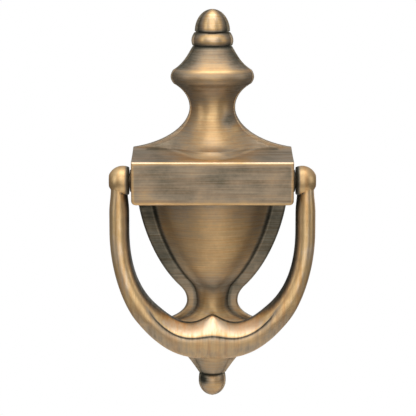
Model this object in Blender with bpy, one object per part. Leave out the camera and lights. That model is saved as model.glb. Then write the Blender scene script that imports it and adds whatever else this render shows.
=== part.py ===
"""Urn-shaped door knocker: a hollow cast back plate with a hinge block, a swinging bail handle on a
through pin, a strike button, and two studs with washers and cap nuts that clamp it through a door.

Frame: metres, X to the right, the front faces -Y, Z up. The origin is on the door's face (y = 0), on the
centre line, level with the hinge axis.
"""
import math

import bmesh
import bpy
from mathutils import Matrix, Vector

MM = 0.001

# --- clearances ---------------------------------------------------------------------------------------
FIT_GAP = 0.3 * MM            # between fitted pieces that don't turn on each other
SIDE_GAP = 0.3 * MM           # each side of a spacer washer
REST_GAP = 0.3 * MM           # between the handle's back and the strike button
CUT_PAST = 1.0 * MM           # how far a bore or a boss runs past the face it starts from

# --- hinge --------------------------------------------------------------------------------------------
HINGE_STANDOFF = 14.0 * MM    # hinge axis in front of the door
PIN_DIAMETER = 4.0 * MM
PIN_CHAMFER = 0.3 * MM
SPACER_THICKNESS = 0.5 * MM
SPACER_DIAMETER = 8.6 * MM

# --- hinge block --------------------------------------------------------------------------------------
BLOCK_HALF_WIDTH = 31.0 * MM
BLOCK_DEPTH = 24.5 * MM       # front of the block from the door
BLOCK_BELOW_AXIS = 8.1 * MM
BLOCK_ABOVE_AXIS = 8.5 * MM   # to the front crest
ROOF_RISE = 3.1 * MM          # crest to shoulder
ROOF_HOLLOW = 0.4 * MM        # how far the roof sags below a straight slope
BLOCK_CORNER_RADIUS = 1.7 * MM
BLOCK_EDGE_RADIUS = 0.6 * MM
BLOCK_WALL = 3.4 * MM
WEB_HALF_WIDTH = 5.0 * MM     # solid web in the middle of the block, flush with the door's face

# --- plate --------------------------------------------------------------------------------------------
FLANGE_THICKNESS = 3.2 * MM
FLANGE_EDGE_RADIUS = 0.9 * MM
BODY_WALL = 2.8 * MM
BODY_ROOT = 1.0 * MM          # how far inside the flange the raised bodies start

# heights of the stretches above the shoulder, going up
TRUMPET_HEIGHT = 15.8 * MM
COVE_HEIGHT = 9.25 * MM
RIM_HEIGHT = 5.2 * MM
CONE_HEIGHT = 9.15 * MM
BEAD_HEIGHT = 5.4 * MM
DOME_HEIGHT = 9.0 * MM
# heights of the stretches below the block, going down
BOWL_HEIGHT = 34.8 * MM
WAIST_HEIGHT = 6.8 * MM
FOOT_FLARE_HEIGHT = 7.7 * MM
FOOT_RIM_HEIGHT = 3.6 * MM
TAPER_HEIGHT = 17.7 * MM
TIP_NECK_HEIGHT = 1.1 * MM
TIP_SWELL_HEIGHT = 2.3 * MM
TIP_HEIGHT = 6.1 * MM
GROOVE_HEIGHT = 0.3 * MM      # between the bead and the dome

# half widths of the outline, from the top down
DOME_HALF_WIDTH = 6.85 * MM
BEAD_TOP_HALF_WIDTH = 7.0 * MM
BEAD_FOOT_HALF_WIDTH = 7.7 * MM
BEAD_SWELL = 0.75 * MM
RIM_TOP_HALF_WIDTH = 15.3 * MM
RIM_FOOT_HALF_WIDTH = 15.1 * MM
RIM_SWELL = 1.1 * MM
NECK_HALF_WIDTH = 8.9 * MM
BOWL_SETBACK = 1.5 * MM      # from the block's side in to the bowl's top corner
BOWL_FOOT_HALF_WIDTH = 13.7 * MM
STEM_HALF_WIDTH = 10.05 * MM
FOOT_HALF_WIDTH = 18.6 * MM
TAPER_FOOT_HALF_WIDTH = 5.4 * MM
TIP_NECK_HALF_WIDTH = 5.15 * MM
TIP_HALF_WIDTH = 5.4 * MM

# The two control points of each curved stretch, as shares of its height and of its change in width
TRUMPET_CURVE = ((0.1375, 0.635), (0.5875, 1.0))
COVE_CURVE = ((0.43, 0.0), (0.79, 0.42))
CONE_CURVE = ((0.27, 0.55), (0.68, 0.77))
TOE_CURVE = ((0.2, 0.5), (0.6, 0.9))
BOWL_CURVE = ((0.311, 0.081), (0.738, 0.42))
WAIST_CURVE = ((0.3, 0.6), (0.55, 1.0))
FOOT_CURVE = ((0.38, 0.0), (0.78, 0.27))
TAPER_CURVE = ((0.29, 0.24), (0.61, 0.64))

# flat margin left between the outline and the raised body
TURNED_MARGIN = 1.3 * MM
TRUMPET_FOOT_MARGIN = 12.0 * MM
BOWL_MARGIN = 5.4 * MM
BOWL_FOOT_MARGIN = 6.4 * MM
STEM_MARGIN = 4.0 * MM
FOOT_MARGIN = 5.0 * MM
TIP_MARGIN = 0.9 * MM

# how far the raised body stands in front of the door
DOME_DEPTH = 8.2 * MM
GROOVE_DEPTH = 7.4 * MM
BEAD_DEPTH = 8.6 * MM
RIM_DEPTH = 12.6 * MM
NECK_DEPTH = 9.6 * MM
TRUMPET_FOOT_DEPTH = 18.5 * MM
TRUMPET_TOE_DEPTH = 22.6 * MM
TRUMPET_TOE_HALF_WIDTH = 19.5 * MM
BOWL_DEPTH = 15.6 * MM
BOWL_FOOT_DEPTH = 9.2 * MM
STEM_DEPTH = 7.6 * MM
FOOT_DEPTH = 8.2 * MM
TAPER_FOOT_DEPTH = 6.4 * MM
TIP_DEPTH = 7.0 * MM
STRIKE_SEAT_DEPTH = 7.6 * MM

# --- strike button ------------------------------------------------------------------------------------
STRIKE_BELOW_FOOT = 2.0 * MM  # button centre below the foot's rim
STRIKE_HEAD_DIAMETER = 9.0 * MM
STRIKE_HEAD_THICKNESS = 2.4 * MM
STRIKE_SHANK_DIAMETER = 4.0 * MM
STRIKE_SHANK_LENGTH = 5.0 * MM

# --- handle -------------------------------------------------------------------------------------------
ARM_WIDTH = 7.7 * MM
ARM_DEPTH = 9.0 * MM
ARM_SIDE_GAP = 0.2 * MM       # arm's inner side outside the knuckle's flat face
ARM_STRAIGHT_BELOW_AXIS = 20.0 * MM
BAR_DEPTH = 12.2 * MM         # depth of the bottom bar
BAR_BELOW_STRIKE = 7.1 * MM   # handle's lowest point below the button's centre
KNUCKLE_RADIUS = 5.8 * MM
KNUCKLE_PROUD = 0.4 * MM      # outside the arm's outer side
ARM_TOP_BELOW_AXIS = 2.9 * MM # where the arm ends inside the knuckle
ARM_TOP_NARROWING = 0.6 * MM  # on each side there
ARM_FULL_BELOW_AXIS = 10.4 * MM
INNER_SIDE_SLOPE = 1.8 * MM   # how much the inner side leans back towards the door
# points on the handle's edges: in from the straight arm's edge, and up from the lowest point
CORNER_IN = 9.7 * MM
CORNER_UP = 15.3 * MM
SHOULDER_IN = 11.2 * MM
SHOULDER_UP = 20.1 * MM
TROUGH_HALF_WIDTH = 9.0 * MM
TROUGH_UP = 14.0 * MM
CREST_UP = 17.2 * MM

# How far the edges' control points stand off, as shares of the distance that each is measured against
OUTER_STRAIGHT = 0.48
OUTER_CORNER = 0.40
OUTER_BOTTOM = 0.30
INNER_STRAIGHT = 0.44
INNER_LEAN = 0.36
SHOULDER_ABOVE = (1.8, 1.5)
SHOULDER_BELOW = (1.0, 0.84)
CREST_SHARES = (0.5, 0.2)
# One section of the handle: shares of its width from the inner edge, and of its depth from the back
BACK_AND_OUTER_SIDE = [(0.10, 0.0), (0.86, 0.0), (0.97, 0.14), (1.0, 0.36), (0.96, 0.62), (0.83, 0.86),
                       (0.62, 0.99), (0.45, 1.0)]
INNER_SIDE = [(0.0, 0.30), (0.02, 0.08)]
INNER_TURN = (0.08, 0.93, 0.80)   # start of the inner side's turn, and the depths at its two ends

# --- mounting -----------------------------------------------------------------------------------------
DOOR_THICKNESS = 45.0 * MM
STUD_DIAMETER = 4.2 * MM
STUD_ENGAGEMENT = 5.0 * MM
STUD_PAST_DOOR = 5.4 * MM
STUD_CHAMFER = 0.5 * MM
BOSS_DIAMETER = 9.6 * MM
WASHER_DIAMETER = 12.0 * MM
WASHER_THICKNESS = 1.2 * MM
NUT_ACROSS_FLATS = 8.0 * MM
NUT_HEX_HEIGHT = 4.0 * MM
NUT_DOME_RADIUS = 3.5 * MM

# --- fineness -----------------------------------------------------------------------------------------
ROUND_SIDES = 24
ARC_STEPS = 7
CURVE_STEPS = 7
SMOOTH_ANGLE = math.radians(35)
END_TURN = math.radians(86)   # how far a rounded end turns before its small flat tip

# --- heights worked out from the values above -----------------------------------------------------------
CREST_Z = BLOCK_ABOVE_AXIS
SHOULDER_Z = CREST_Z + ROOF_RISE
NECK_Z = SHOULDER_Z + TRUMPET_HEIGHT
RIM_FOOT_Z = NECK_Z + COVE_HEIGHT
RIM_TOP_Z = RIM_FOOT_Z + RIM_HEIGHT
BEAD_FOOT_Z = RIM_TOP_Z + CONE_HEIGHT
BEAD_TOP_Z = BEAD_FOOT_Z + BEAD_HEIGHT
BLOCK_FOOT_Z = -BLOCK_BELOW_AXIS
BOWL_FOOT_Z = BLOCK_FOOT_Z - BOWL_HEIGHT
STEM_Z = BOWL_FOOT_Z - WAIST_HEIGHT
FOOT_TOP_Z = STEM_Z - FOOT_FLARE_HEIGHT
FOOT_BOTTOM_Z = FOOT_TOP_Z - FOOT_RIM_HEIGHT
TAPER_FOOT_Z = FOOT_BOTTOM_Z - TAPER_HEIGHT
TIP_NECK_Z = TAPER_FOOT_Z - TIP_NECK_HEIGHT
TIP_SWELL_Z = TIP_NECK_Z - TIP_SWELL_HEIGHT

STRIKE_Z = FOOT_BOTTOM_Z - STRIKE_BELOW_FOOT
HANDLE_BOTTOM_Z = STRIKE_Z - BAR_BELOW_STRIKE
STUD_HEIGHTS = {"upper": (RIM_FOOT_Z + RIM_TOP_Z) / 2, "lower": STEM_Z}

# --- other places worked out from the values above ------------------------------------------------------
HINGE_Y = -HINGE_STANDOFF
BORE_DIAMETER = PIN_DIAMETER + 2 * FIT_GAP
STUD_HOLE_DIAMETER = STUD_DIAMETER + 2 * FIT_GAP
BOWL_HALF_WIDTH = BLOCK_HALF_WIDTH - BOWL_SETBACK
KNUCKLE_FACE_X = BLOCK_HALF_WIDTH + SPACER_THICKNESS + 2 * SIDE_GAP
ARM_INNER_X = KNUCKLE_FACE_X + ARM_SIDE_GAP
ARM_OUTER_X = ARM_INNER_X + ARM_WIDTH
KNUCKLE_X = ARM_OUTER_X + KNUCKLE_PROUD - KNUCKLE_RADIUS
STRIKE_FACE_Y = -(STRIKE_SEAT_DEPTH + FIT_GAP + STRIKE_HEAD_THICKNESS)
BAR_BACK_Y = STRIKE_FACE_Y - REST_GAP
ARM_BACK_Y = HINGE_Y + ARM_DEPTH / 2


# --- small helpers ------------------------------------------------------------------------------------
def clear_scene():
    for item in list(bpy.data.objects):
        bpy.data.objects.remove(item, do_unlink=True)


def material(name, colour, roughness, metallic=1.0):
    made = bpy.data.materials.new(name)
    made.use_nodes = True
    shader = made.node_tree.nodes["Principled BSDF"]
    shader.inputs["Base Color"].default_value = (*colour, 1.0)
    shader.inputs["Roughness"].default_value = roughness
    shader.inputs["Metallic"].default_value = metallic
    return made


def add_object(name, shape, finish=None):
    """Turns a bmesh into a named object with faces pointing out, shaded smooth up to SMOOTH_ANGLE."""
    bmesh.ops.recalc_face_normals(shape, faces=shape.faces)
    mesh = bpy.data.meshes.new(name)
    shape.to_mesh(mesh)
    shape.free()
    mesh.shade_smooth()
    mesh.set_sharp_from_angle(angle=SMOOTH_ANGLE)
    item = bpy.data.objects.new(name, mesh)
    bpy.context.scene.collection.objects.link(item)
    if finish is not None:
        item.data.materials.append(finish)
    return item


def add_guide(name, shape):
    """An object that only serves a Boolean: it is never part of the knocker itself."""
    item = add_object(name, shape)
    item.hide_render = True
    item.display_type = "WIRE"
    return item


def combine(item, tool, operation):
    change = item.modifiers.new(f"{operation.lower()}_{tool.name}", "BOOLEAN")
    change.operation = operation
    change.object = tool


def skin(rings, closed=False):
    """A closed shape through equal rings of points, capped at both ends unless it closes on itself."""
    shape = bmesh.new()
    loops = [[shape.verts.new(point) for point in ring] for ring in rings]
    pairs = list(zip(loops, loops[1:]))
    if closed:
        pairs.append((loops[-1], loops[0]))
    for lower, upper in pairs:
        for index in range(len(lower)):
            following = (index + 1) % len(lower)
            shape.faces.new((lower[index], lower[following], upper[following], upper[index]))
    if not closed:
        shape.faces.new(loops[0])
        shape.faces.new(list(reversed(loops[-1])))
    return shape


def turned(stations, axis):
    """A solid of revolution about an axis ("X" or "Y") from (place along the axis, radius) stations."""
    rings = []
    for place, radius in stations:
        ring = []
        for step in range(ROUND_SIDES):
            angle = 2 * math.pi * (step + 0.5) / ROUND_SIDES
            across = (radius * math.cos(angle), radius * math.sin(angle))
            ring.append((place, *across) if axis == "X" else (across[0], place, across[1]))
        rings.append(ring)
    return skin(rings)


def move(shape, offset):
    bmesh.ops.translate(shape, verts=shape.verts, vec=Vector(offset))
    return shape


def rod(start, end, diameter, axis, offset=(0, 0, 0)):
    return move(turned([(start, diameter / 2), (end, diameter / 2)], axis), offset)


def mix(start, end, share):
    return start + (end - start) * share


def bezier(first, second, third, fourth, share):
    rest = 1 - share
    return (rest**3 * first + 3 * rest**2 * share * second + 3 * rest * share**2 * third + share**3 * fourth)


# --- the urn's outline and raised body ------------------------------------------------------------------
# A station is (height, half width of the outline, half width of the raised body, depth of the raised body).
def station(height, half_width, margin, depth):
    return (height, half_width, half_width - margin, depth)


def sweep(start, end, leave, arrive):
    """Stations after start up to end along a cubic. leave and arrive place its two control points, as
    shares of the way from start to end: first of the height, then of the widths and depth."""
    rows = []
    for step in range(1, CURVE_STEPS + 1):
        share = step / CURVE_STEPS
        height_share = bezier(0, leave[0], arrive[0], 1, share)
        width_share = bezier(0, leave[1], arrive[1], 1, share)
        sizes = [mix(low, high, width_share) for low, high in zip(start[1:], end[1:])]
        rows.append((mix(start[0], end[0], height_share), *sizes))
    return rows


def swell(start, end, amount):
    """Stations after start up to end, bulging by amount half way."""
    rows = []
    for step in range(1, CURVE_STEPS + 1):
        share = step / CURVE_STEPS
        bulge = amount * (1 - (2 * share - 1) ** 2)
        rows.append((mix(start[0], end[0], share), *(mix(low, high, share) + bulge
                                                     for low, high in zip(start[1:], end[1:]))))
    return rows


def round_end(start, height):
    """Stations after start up to an elliptical end that is height further on."""
    rows = []
    for step in range(1, ARC_STEPS + 1):
        angle = END_TURN * step / ARC_STEPS
        shrink = math.cos(angle)
        rows.append((start[0] + height * math.sin(angle), start[1] * shrink, start[2] * shrink,
                     mix(FLANGE_THICKNESS, start[3], shrink)))
    return rows


def upper_stations():
    """From the shoulders of the block up to the top of the dome."""
    shoulder = station(SHOULDER_Z, BLOCK_HALF_WIDTH, TRUMPET_FOOT_MARGIN, TRUMPET_FOOT_DEPTH)
    neck = station(NECK_Z, NECK_HALF_WIDTH, TURNED_MARGIN, NECK_DEPTH)
    rim_foot = station(RIM_FOOT_Z, RIM_FOOT_HALF_WIDTH, TURNED_MARGIN, RIM_DEPTH)
    rim_top = station(RIM_TOP_Z, RIM_TOP_HALF_WIDTH, TURNED_MARGIN, RIM_DEPTH)
    bead_foot = station(BEAD_FOOT_Z, BEAD_FOOT_HALF_WIDTH, TURNED_MARGIN, BEAD_DEPTH - BEAD_SWELL)
    bead_top = station(BEAD_TOP_Z, BEAD_TOP_HALF_WIDTH, TURNED_MARGIN, GROOVE_DEPTH)
    dome_foot = station(BEAD_TOP_Z + GROOVE_HEIGHT, DOME_HALF_WIDTH, TURNED_MARGIN, DOME_DEPTH)
    rows = [shoulder]
    rows += sweep(shoulder, neck, *TRUMPET_CURVE)
    rows += sweep(neck, rim_foot, *COVE_CURVE)
    rows += swell(rim_foot, rim_top, RIM_SWELL)
    rows += sweep(rim_top, bead_foot, *CONE_CURVE)
    rows += swell(bead_foot, bead_top, BEAD_SWELL)
    rows.append(dome_foot)
    rows += round_end(dome_foot, DOME_HEIGHT - GROOVE_HEIGHT)
    return rows


def lower_stations():
    """From the underside of the block down to the end of the tip."""
    bowl = station(BLOCK_FOOT_Z, BOWL_HALF_WIDTH, BOWL_MARGIN, BOWL_DEPTH)
    bowl_foot = station(BOWL_FOOT_Z, BOWL_FOOT_HALF_WIDTH, BOWL_FOOT_MARGIN, BOWL_FOOT_DEPTH)
    stem = station(STEM_Z, STEM_HALF_WIDTH, STEM_MARGIN, STEM_DEPTH)
    foot_top = station(FOOT_TOP_Z, FOOT_HALF_WIDTH, FOOT_MARGIN, FOOT_DEPTH)
    foot_bottom = station(FOOT_BOTTOM_Z, FOOT_HALF_WIDTH, FOOT_MARGIN, FOOT_DEPTH)
    taper_foot = station(TAPER_FOOT_Z, TAPER_FOOT_HALF_WIDTH, TIP_MARGIN, TAPER_FOOT_DEPTH)
    tip_neck = station(TIP_NECK_Z, TIP_NECK_HALF_WIDTH, TIP_MARGIN, TAPER_FOOT_DEPTH)
    tip = station(TIP_SWELL_Z, TIP_HALF_WIDTH, TIP_MARGIN, TIP_DEPTH)
    rows = [bowl]
    rows += sweep(bowl, bowl_foot, *BOWL_CURVE)
    rows += sweep(bowl_foot, stem, *WAIST_CURVE)
    rows += sweep(stem, foot_top, *FOOT_CURVE)
    rows += swell(foot_top, foot_bottom, FLANGE_EDGE_RADIUS)
    rows += sweep(foot_bottom, taper_foot, *TAPER_CURVE)
    rows.append(tip_neck)
    rows.append(tip)
    rows += round_end(tip, -TIP_HEIGHT)
    return rows


def flange_shape():
    """The flat plate that lies on the door: the whole outline, with a rounded front edge."""
    side = [(row[1], row[0]) for row in reversed(upper_stations())]
    side += [(BLOCK_HALF_WIDTH, CREST_Z), (BLOCK_HALF_WIDTH, BLOCK_FOOT_Z)]
    side += [(row[1], row[0]) for row in lower_stations()]
    outline = side + [(-half_width, height) for half_width, height in reversed(side)]
    rings = []
    edge = FLANGE_EDGE_RADIUS
    for inset, depth in ((0, 0), (0, FLANGE_THICKNESS - edge), (edge, FLANGE_THICKNESS)):
        rings.append([(math.copysign(max(abs(x) - inset, abs(x) / 2), x), -depth, z) for x, z in outline])
    return skin(rings)


def body_shape(rows, inset):
    """The raised body over the flange through the given stations, or the hollow behind it for an inset
    above 0: half-ellipse sections that start inside the flange."""
    back = -BODY_ROOT if inset == 0 else BODY_WALL
    rings = []
    for height, _, half_width, depth in rows:
        wide = half_width - inset
        deep = depth - inset
        ring = [(wide, back, height)]
        for step in range(2 * ARC_STEPS + 1):
            angle = math.pi * step / (2 * ARC_STEPS)
            ring.append((wide * math.cos(angle), -BODY_ROOT - (deep - BODY_ROOT) * math.sin(angle), height))
        ring.append((-wide, back, height))
        rings.append(ring)
    return skin(rings)


def hollow_rows(rows, low, high):
    """The stations between two heights that leave room for a hollow."""
    room = BODY_WALL + FLANGE_EDGE_RADIUS
    return [row for row in rows if low <= row[0] <= high and row[2] > room and row[3] > room + BODY_ROOT]


def block_shape():
    """The hinge block: an upright-sided box with rounded lower corners and a sagging, sloping roof."""
    corner = BLOCK_CORNER_RADIUS
    edge = BLOCK_EDGE_RADIUS
    rings = []
    for inset, front in ((0, -BODY_ROOT), (0, -(BLOCK_DEPTH - edge)), (edge, -BLOCK_DEPTH)):
        wide = BLOCK_HALF_WIDTH - inset
        foot = BLOCK_FOOT_Z + inset
        ring = [(wide, front, CREST_Z - inset)]
        for side, first in ((1, 0), (-1, 90)):
            for step in range(ARC_STEPS + 1):
                angle = math.radians(first + 90 * step / ARC_STEPS)
                ring.append((side * (wide - corner) + corner * math.cos(angle), front,
                             foot + corner - corner * math.sin(angle)))
        ring.append((-wide, front, CREST_Z - inset))
        rings.append(ring)
    return skin(rings)


def roof_shape():
    """The wedge on top of the block, from the crest back and up to the shoulders."""
    wide = BLOCK_HALF_WIDTH
    steps = ARC_STEPS
    front = -(BLOCK_DEPTH - BLOCK_EDGE_RADIUS)
    back = -FLANGE_THICKNESS
    slope = []
    for step in range(steps + 1):
        share = step / steps
        sag = ROOF_HOLLOW * (1 - (2 * share - 1) ** 2)
        slope.append((mix(front, back, share), mix(CREST_Z, SHOULDER_Z, share) - sag))
    slope += [(-BODY_ROOT, SHOULDER_Z), (-BODY_ROOT, CREST_Z - BLOCK_EDGE_RADIUS),
              (front, CREST_Z - BLOCK_EDGE_RADIUS)]
    return skin([[(x, y, z) for y, z in slope] for x in (-wide, wide)])


def pocket_shape(side):
    """The hollow behind one half of the hinge block, open at the back."""
    near = WEB_HALF_WIDTH
    far = BLOCK_HALF_WIDTH - BLOCK_WALL
    deep = -(BLOCK_DEPTH - BLOCK_WALL)
    low = BLOCK_FOOT_Z + BLOCK_WALL
    high = CREST_Z - BLOCK_WALL / 2
    corners = [(near, low), (far, low), (far, high), (near, high)]
    return skin([[(side * x, y, z) for x, z in corners] for y in (deep, BODY_WALL)])


def make_back_plate(finish):
    plate = add_object("back_plate", flange_shape(), finish)
    upper = upper_stations()
    toe = (CREST_Z - BLOCK_EDGE_RADIUS, BLOCK_HALF_WIDTH, TRUMPET_TOE_HALF_WIDTH, TRUMPET_TOE_DEPTH)
    trumpet_foot = sweep(toe, upper[0], *TOE_CURVE)[:-1]
    lower = lower_stations()
    block_root = (BLOCK_FOOT_Z + BLOCK_WALL / 2, *lower[0][1:])
    parts = {
        "upper_body": body_shape([toe] + trumpet_foot + upper, 0),
        "lower_body": body_shape([block_root] + lower, 0),
        "hinge_block": block_shape(),
        "block_roof": roof_shape(),
    }
    for name, shape in parts.items():
        combine(plate, add_guide(name, shape), "UNION")
    bowl_hollow = hollow_rows(lower, BOWL_FOOT_Z, BLOCK_FOOT_Z - BLOCK_WALL)
    neck_hollow = hollow_rows(upper, SHOULDER_Z, RIM_TOP_Z)
    cuts = {
        "bowl_hollow": body_shape(bowl_hollow, BODY_WALL),
        "neck_hollow": body_shape(neck_hollow, BODY_WALL),
        "left_pocket": pocket_shape(-1),
        "right_pocket": pocket_shape(1),
    }
    for name, shape in cuts.items():
        combine(plate, add_guide(name, shape), "DIFFERENCE")
    for name, height in STUD_HEIGHTS.items():
        boss = rod(-FIT_GAP, -(STUD_ENGAGEMENT + FIT_GAP + CUT_PAST), BOSS_DIAMETER, "Y", (0, 0, height))
        combine(plate, add_guide(f"{name}_boss", boss), "UNION")
        hole = rod(CUT_PAST, -(STUD_ENGAGEMENT + FIT_GAP), STUD_HOLE_DIAMETER, "Y", (0, 0, height))
        combine(plate, add_guide(f"{name}_stud_hole", hole), "DIFFERENCE")
    through = BLOCK_HALF_WIDTH + CUT_PAST
    bore = rod(-through, through, BORE_DIAMETER, "X", (0, HINGE_Y, 0))
    combine(plate, add_guide("pin_bore", bore), "DIFFERENCE")
    seat_end = -(FOOT_DEPTH + STRIKE_HEAD_THICKNESS)
    seat = rod(-STRIKE_SEAT_DEPTH, seat_end, STRIKE_HEAD_DIAMETER + 2 * FIT_GAP, "Y", (0, 0, STRIKE_Z))
    combine(plate, add_guide("strike_seat", seat), "DIFFERENCE")
    shank_end = -(STRIKE_SEAT_DEPTH - STRIKE_SHANK_LENGTH) + FIT_GAP
    shank = rod(shank_end, seat_end, STRIKE_SHANK_DIAMETER + 2 * FIT_GAP, "Y", (0, 0, STRIKE_Z))
    combine(plate, add_guide("strike_hole", shank), "DIFFERENCE")
    return plate


# --- moving pieces --------------------------------------------------------------------------------------
def outer_path():
    """The handle's outer edge as cubics of (x, z) points, from the end of the straight arm to the bottom."""
    arm = (ARM_OUTER_X, -ARM_STRAIGHT_BELOW_AXIS)
    corner = (ARM_OUTER_X - CORNER_IN, HANDLE_BOTTOM_Z + CORNER_UP)
    bottom = (0.0, HANDLE_BOTTOM_Z)
    straight = OUTER_STRAIGHT * (corner[1] - arm[1])
    above = OUTER_CORNER * CORNER_IN
    below = OUTER_CORNER * corner[0]
    slope = CORNER_UP / below
    first = ((arm[0], arm[1] + straight), (corner[0] + above, corner[1] + above * slope))
    second = ((corner[0] - below, bottom[1]), (OUTER_BOTTOM * corner[0], bottom[1]))
    return [(arm, *first, corner), (corner, *second, bottom)]


def inner_path():
    """The handle's inner edge, with a pointed crest at the bottom centre between two troughs."""
    arm = (ARM_INNER_X, -ARM_STRAIGHT_BELOW_AXIS)
    shoulder = (ARM_INNER_X - SHOULDER_IN, HANDLE_BOTTOM_Z + SHOULDER_UP)
    trough = (TROUGH_HALF_WIDTH, HANDLE_BOTTOM_Z + TROUGH_UP)
    crest = (0.0, HANDLE_BOTTOM_Z + CREST_UP)
    straight = INNER_STRAIGHT * (shoulder[1] - arm[1])
    lean = INNER_LEAN * (shoulder[0] - trough[0])
    above, below = ([share * lean for share in shares] for shares in (SHOULDER_ABOVE, SHOULDER_BELOW))
    first = ((arm[0], arm[1] + straight), (shoulder[0] + above[0], shoulder[1] + above[1]))
    second = ((shoulder[0] - below[0], shoulder[1] - below[1]), (trough[0] + lean, trough[1]))
    third = ((CREST_SHARES[0] * trough[0], trough[1]), (CREST_SHARES[1] * trough[0], crest[1]))
    return [(arm, *first, shoulder), (shoulder, *second, trough), (trough, *third, crest)]


def along(path, share):
    """The point at a share of the way down a chain of cubics."""
    place = min(share * len(path), len(path) - 1e-9)
    index = int(place)
    return tuple(bezier(*(control[axis] for control in path[index]), place - index) for axis in (0, 1))


def handle_section(outer, inner, back, depth):
    """One section of the bail between an outer and an inner point: a flat back, a full rounded front and
    an inner side that leans back towards the door."""
    across = Vector((outer[0] - inner[0], 0, outer[1] - inner[1]))
    origin = Vector((inner[0], 0, inner[1]))
    lean = INNER_SIDE_SLOPE / across.length
    turn, turn_front, turn_back = INNER_TURN
    profile = BACK_AND_OUTER_SIDE + [(lean + turn, turn_front), (lean, turn_back)] + INNER_SIDE
    return [origin + across * share + Vector((0, back - depth * height, 0)) for share, height in profile]


def bail_shape():
    """Both arms and the bottom of the handle as one bent bar."""
    steps = 5 * CURVE_STEPS
    outer = outer_path()
    inner = inner_path()
    top = -ARM_TOP_BELOW_AXIS
    full = -ARM_FULL_BELOW_AXIS
    half = [((ARM_OUTER_X - ARM_TOP_NARROWING, top), (ARM_INNER_X + ARM_TOP_NARROWING, top), 0.0),
            ((ARM_OUTER_X, full), (ARM_INNER_X, full), 0.0)]
    for step in range(steps + 1):
        share = step / steps
        half.append((along(outer, share), along(inner, share), share))
    right = []
    for outside, inside, share in half:
        ease = share * share * (3 - 2 * share)
        back = mix(ARM_BACK_Y, BAR_BACK_Y, ease)
        depth = mix(ARM_DEPTH, BAR_DEPTH, ease)
        right.append(handle_section(outside, inside, back, depth))
    left = [[Vector((-point.x, point.y, point.z)) for point in ring] for ring in reversed(right[:-1])]
    return skin(right + left)


def knuckle_shape(side):
    """The ball at the top of an arm, cut flat where it faces the hinge block."""
    start = math.acos((KNUCKLE_X - KNUCKLE_FACE_X) / KNUCKLE_RADIUS)
    stations = []
    steps = 2 * ARC_STEPS
    for step in range(steps):
        angle = mix(start, math.pi, step / steps)
        stations.append((side * (KNUCKLE_X - KNUCKLE_RADIUS * math.cos(angle)),
                         KNUCKLE_RADIUS * math.sin(angle)))
    return move(turned(stations, "X"), (0, HINGE_Y, 0))


def make_handle(finish):
    handle = add_object("knocker_handle", bail_shape(), finish)
    for name, side in (("left", -1), ("right", 1)):
        combine(handle, add_guide(f"{name}_knuckle", knuckle_shape(side)), "UNION")
    reach = ARM_OUTER_X + KNUCKLE_RADIUS
    bore = rod(-reach, reach, BORE_DIAMETER, "X", (0, HINGE_Y, 0))
    combine(handle, add_guide("handle_bore", bore), "DIFFERENCE")
    return handle


def make_hinge_pin(finish):
    end = KNUCKLE_X + math.sqrt(KNUCKLE_RADIUS**2 - (BORE_DIAMETER / 2) ** 2)
    radius = PIN_DIAMETER / 2
    narrow = radius - PIN_CHAMFER
    stations = [(-end, narrow), (-end + PIN_CHAMFER, radius), (end - PIN_CHAMFER, radius), (end, narrow)]
    return add_object("hinge_pin", move(turned(stations, "X"), (0, HINGE_Y, 0)), finish)


def ring_shape(start, end, outer, inner, axis):
    """A flat washer between two places on an axis."""
    rings = []
    for place, diameter in ((start, outer), (end, outer), (end, inner), (start, inner)):
        ring = []
        for step in range(ROUND_SIDES):
            angle = 2 * math.pi * (step + 0.5) / ROUND_SIDES
            across = (diameter / 2 * math.cos(angle), diameter / 2 * math.sin(angle))
            ring.append((place, *across) if axis == "X" else (across[0], place, across[1]))
        rings.append(ring)
    return skin(rings, closed=True)


def make_spacer(name, side, finish):
    near = BLOCK_HALF_WIDTH + SIDE_GAP
    shape = ring_shape(side * near, side * (near + SPACER_THICKNESS), SPACER_DIAMETER, BORE_DIAMETER, "X")
    return add_object(name, move(shape, (0, HINGE_Y, 0)), finish)


# --- strike and mounting pieces -------------------------------------------------------------------------
def make_strike_button(finish):
    head = STRIKE_HEAD_DIAMETER / 2
    edge = FLANGE_EDGE_RADIUS
    seat = -(STRIKE_SEAT_DEPTH + FIT_GAP)
    stations = [(seat + STRIKE_SHANK_LENGTH, STRIKE_SHANK_DIAMETER / 2), (seat, STRIKE_SHANK_DIAMETER / 2),
                (seat, head), (STRIKE_FACE_Y + edge, head), (STRIKE_FACE_Y + edge / 3, head - edge / 3),
                (STRIKE_FACE_Y, head - edge)]
    return add_object("strike_button", move(turned(stations, "Y"), (0, 0, STRIKE_Z)), finish)


def make_stud(name, height, finish):
    end = DOOR_THICKNESS + STUD_PAST_DOOR
    radius = STUD_DIAMETER / 2
    narrow = radius - STUD_CHAMFER
    stations = [(-STUD_ENGAGEMENT, narrow), (-STUD_ENGAGEMENT + STUD_CHAMFER, radius),
                (end - STUD_CHAMFER, radius), (end, narrow)]
    return add_object(name, move(turned(stations, "Y"), (0, 0, height)), finish)


def make_washer(name, height, finish):
    shape = ring_shape(DOOR_THICKNESS, DOOR_THICKNESS + WASHER_THICKNESS, WASHER_DIAMETER,
                       STUD_HOLE_DIAMETER, "Y")
    return add_object(name, move(shape, (0, 0, height)), finish)


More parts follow.
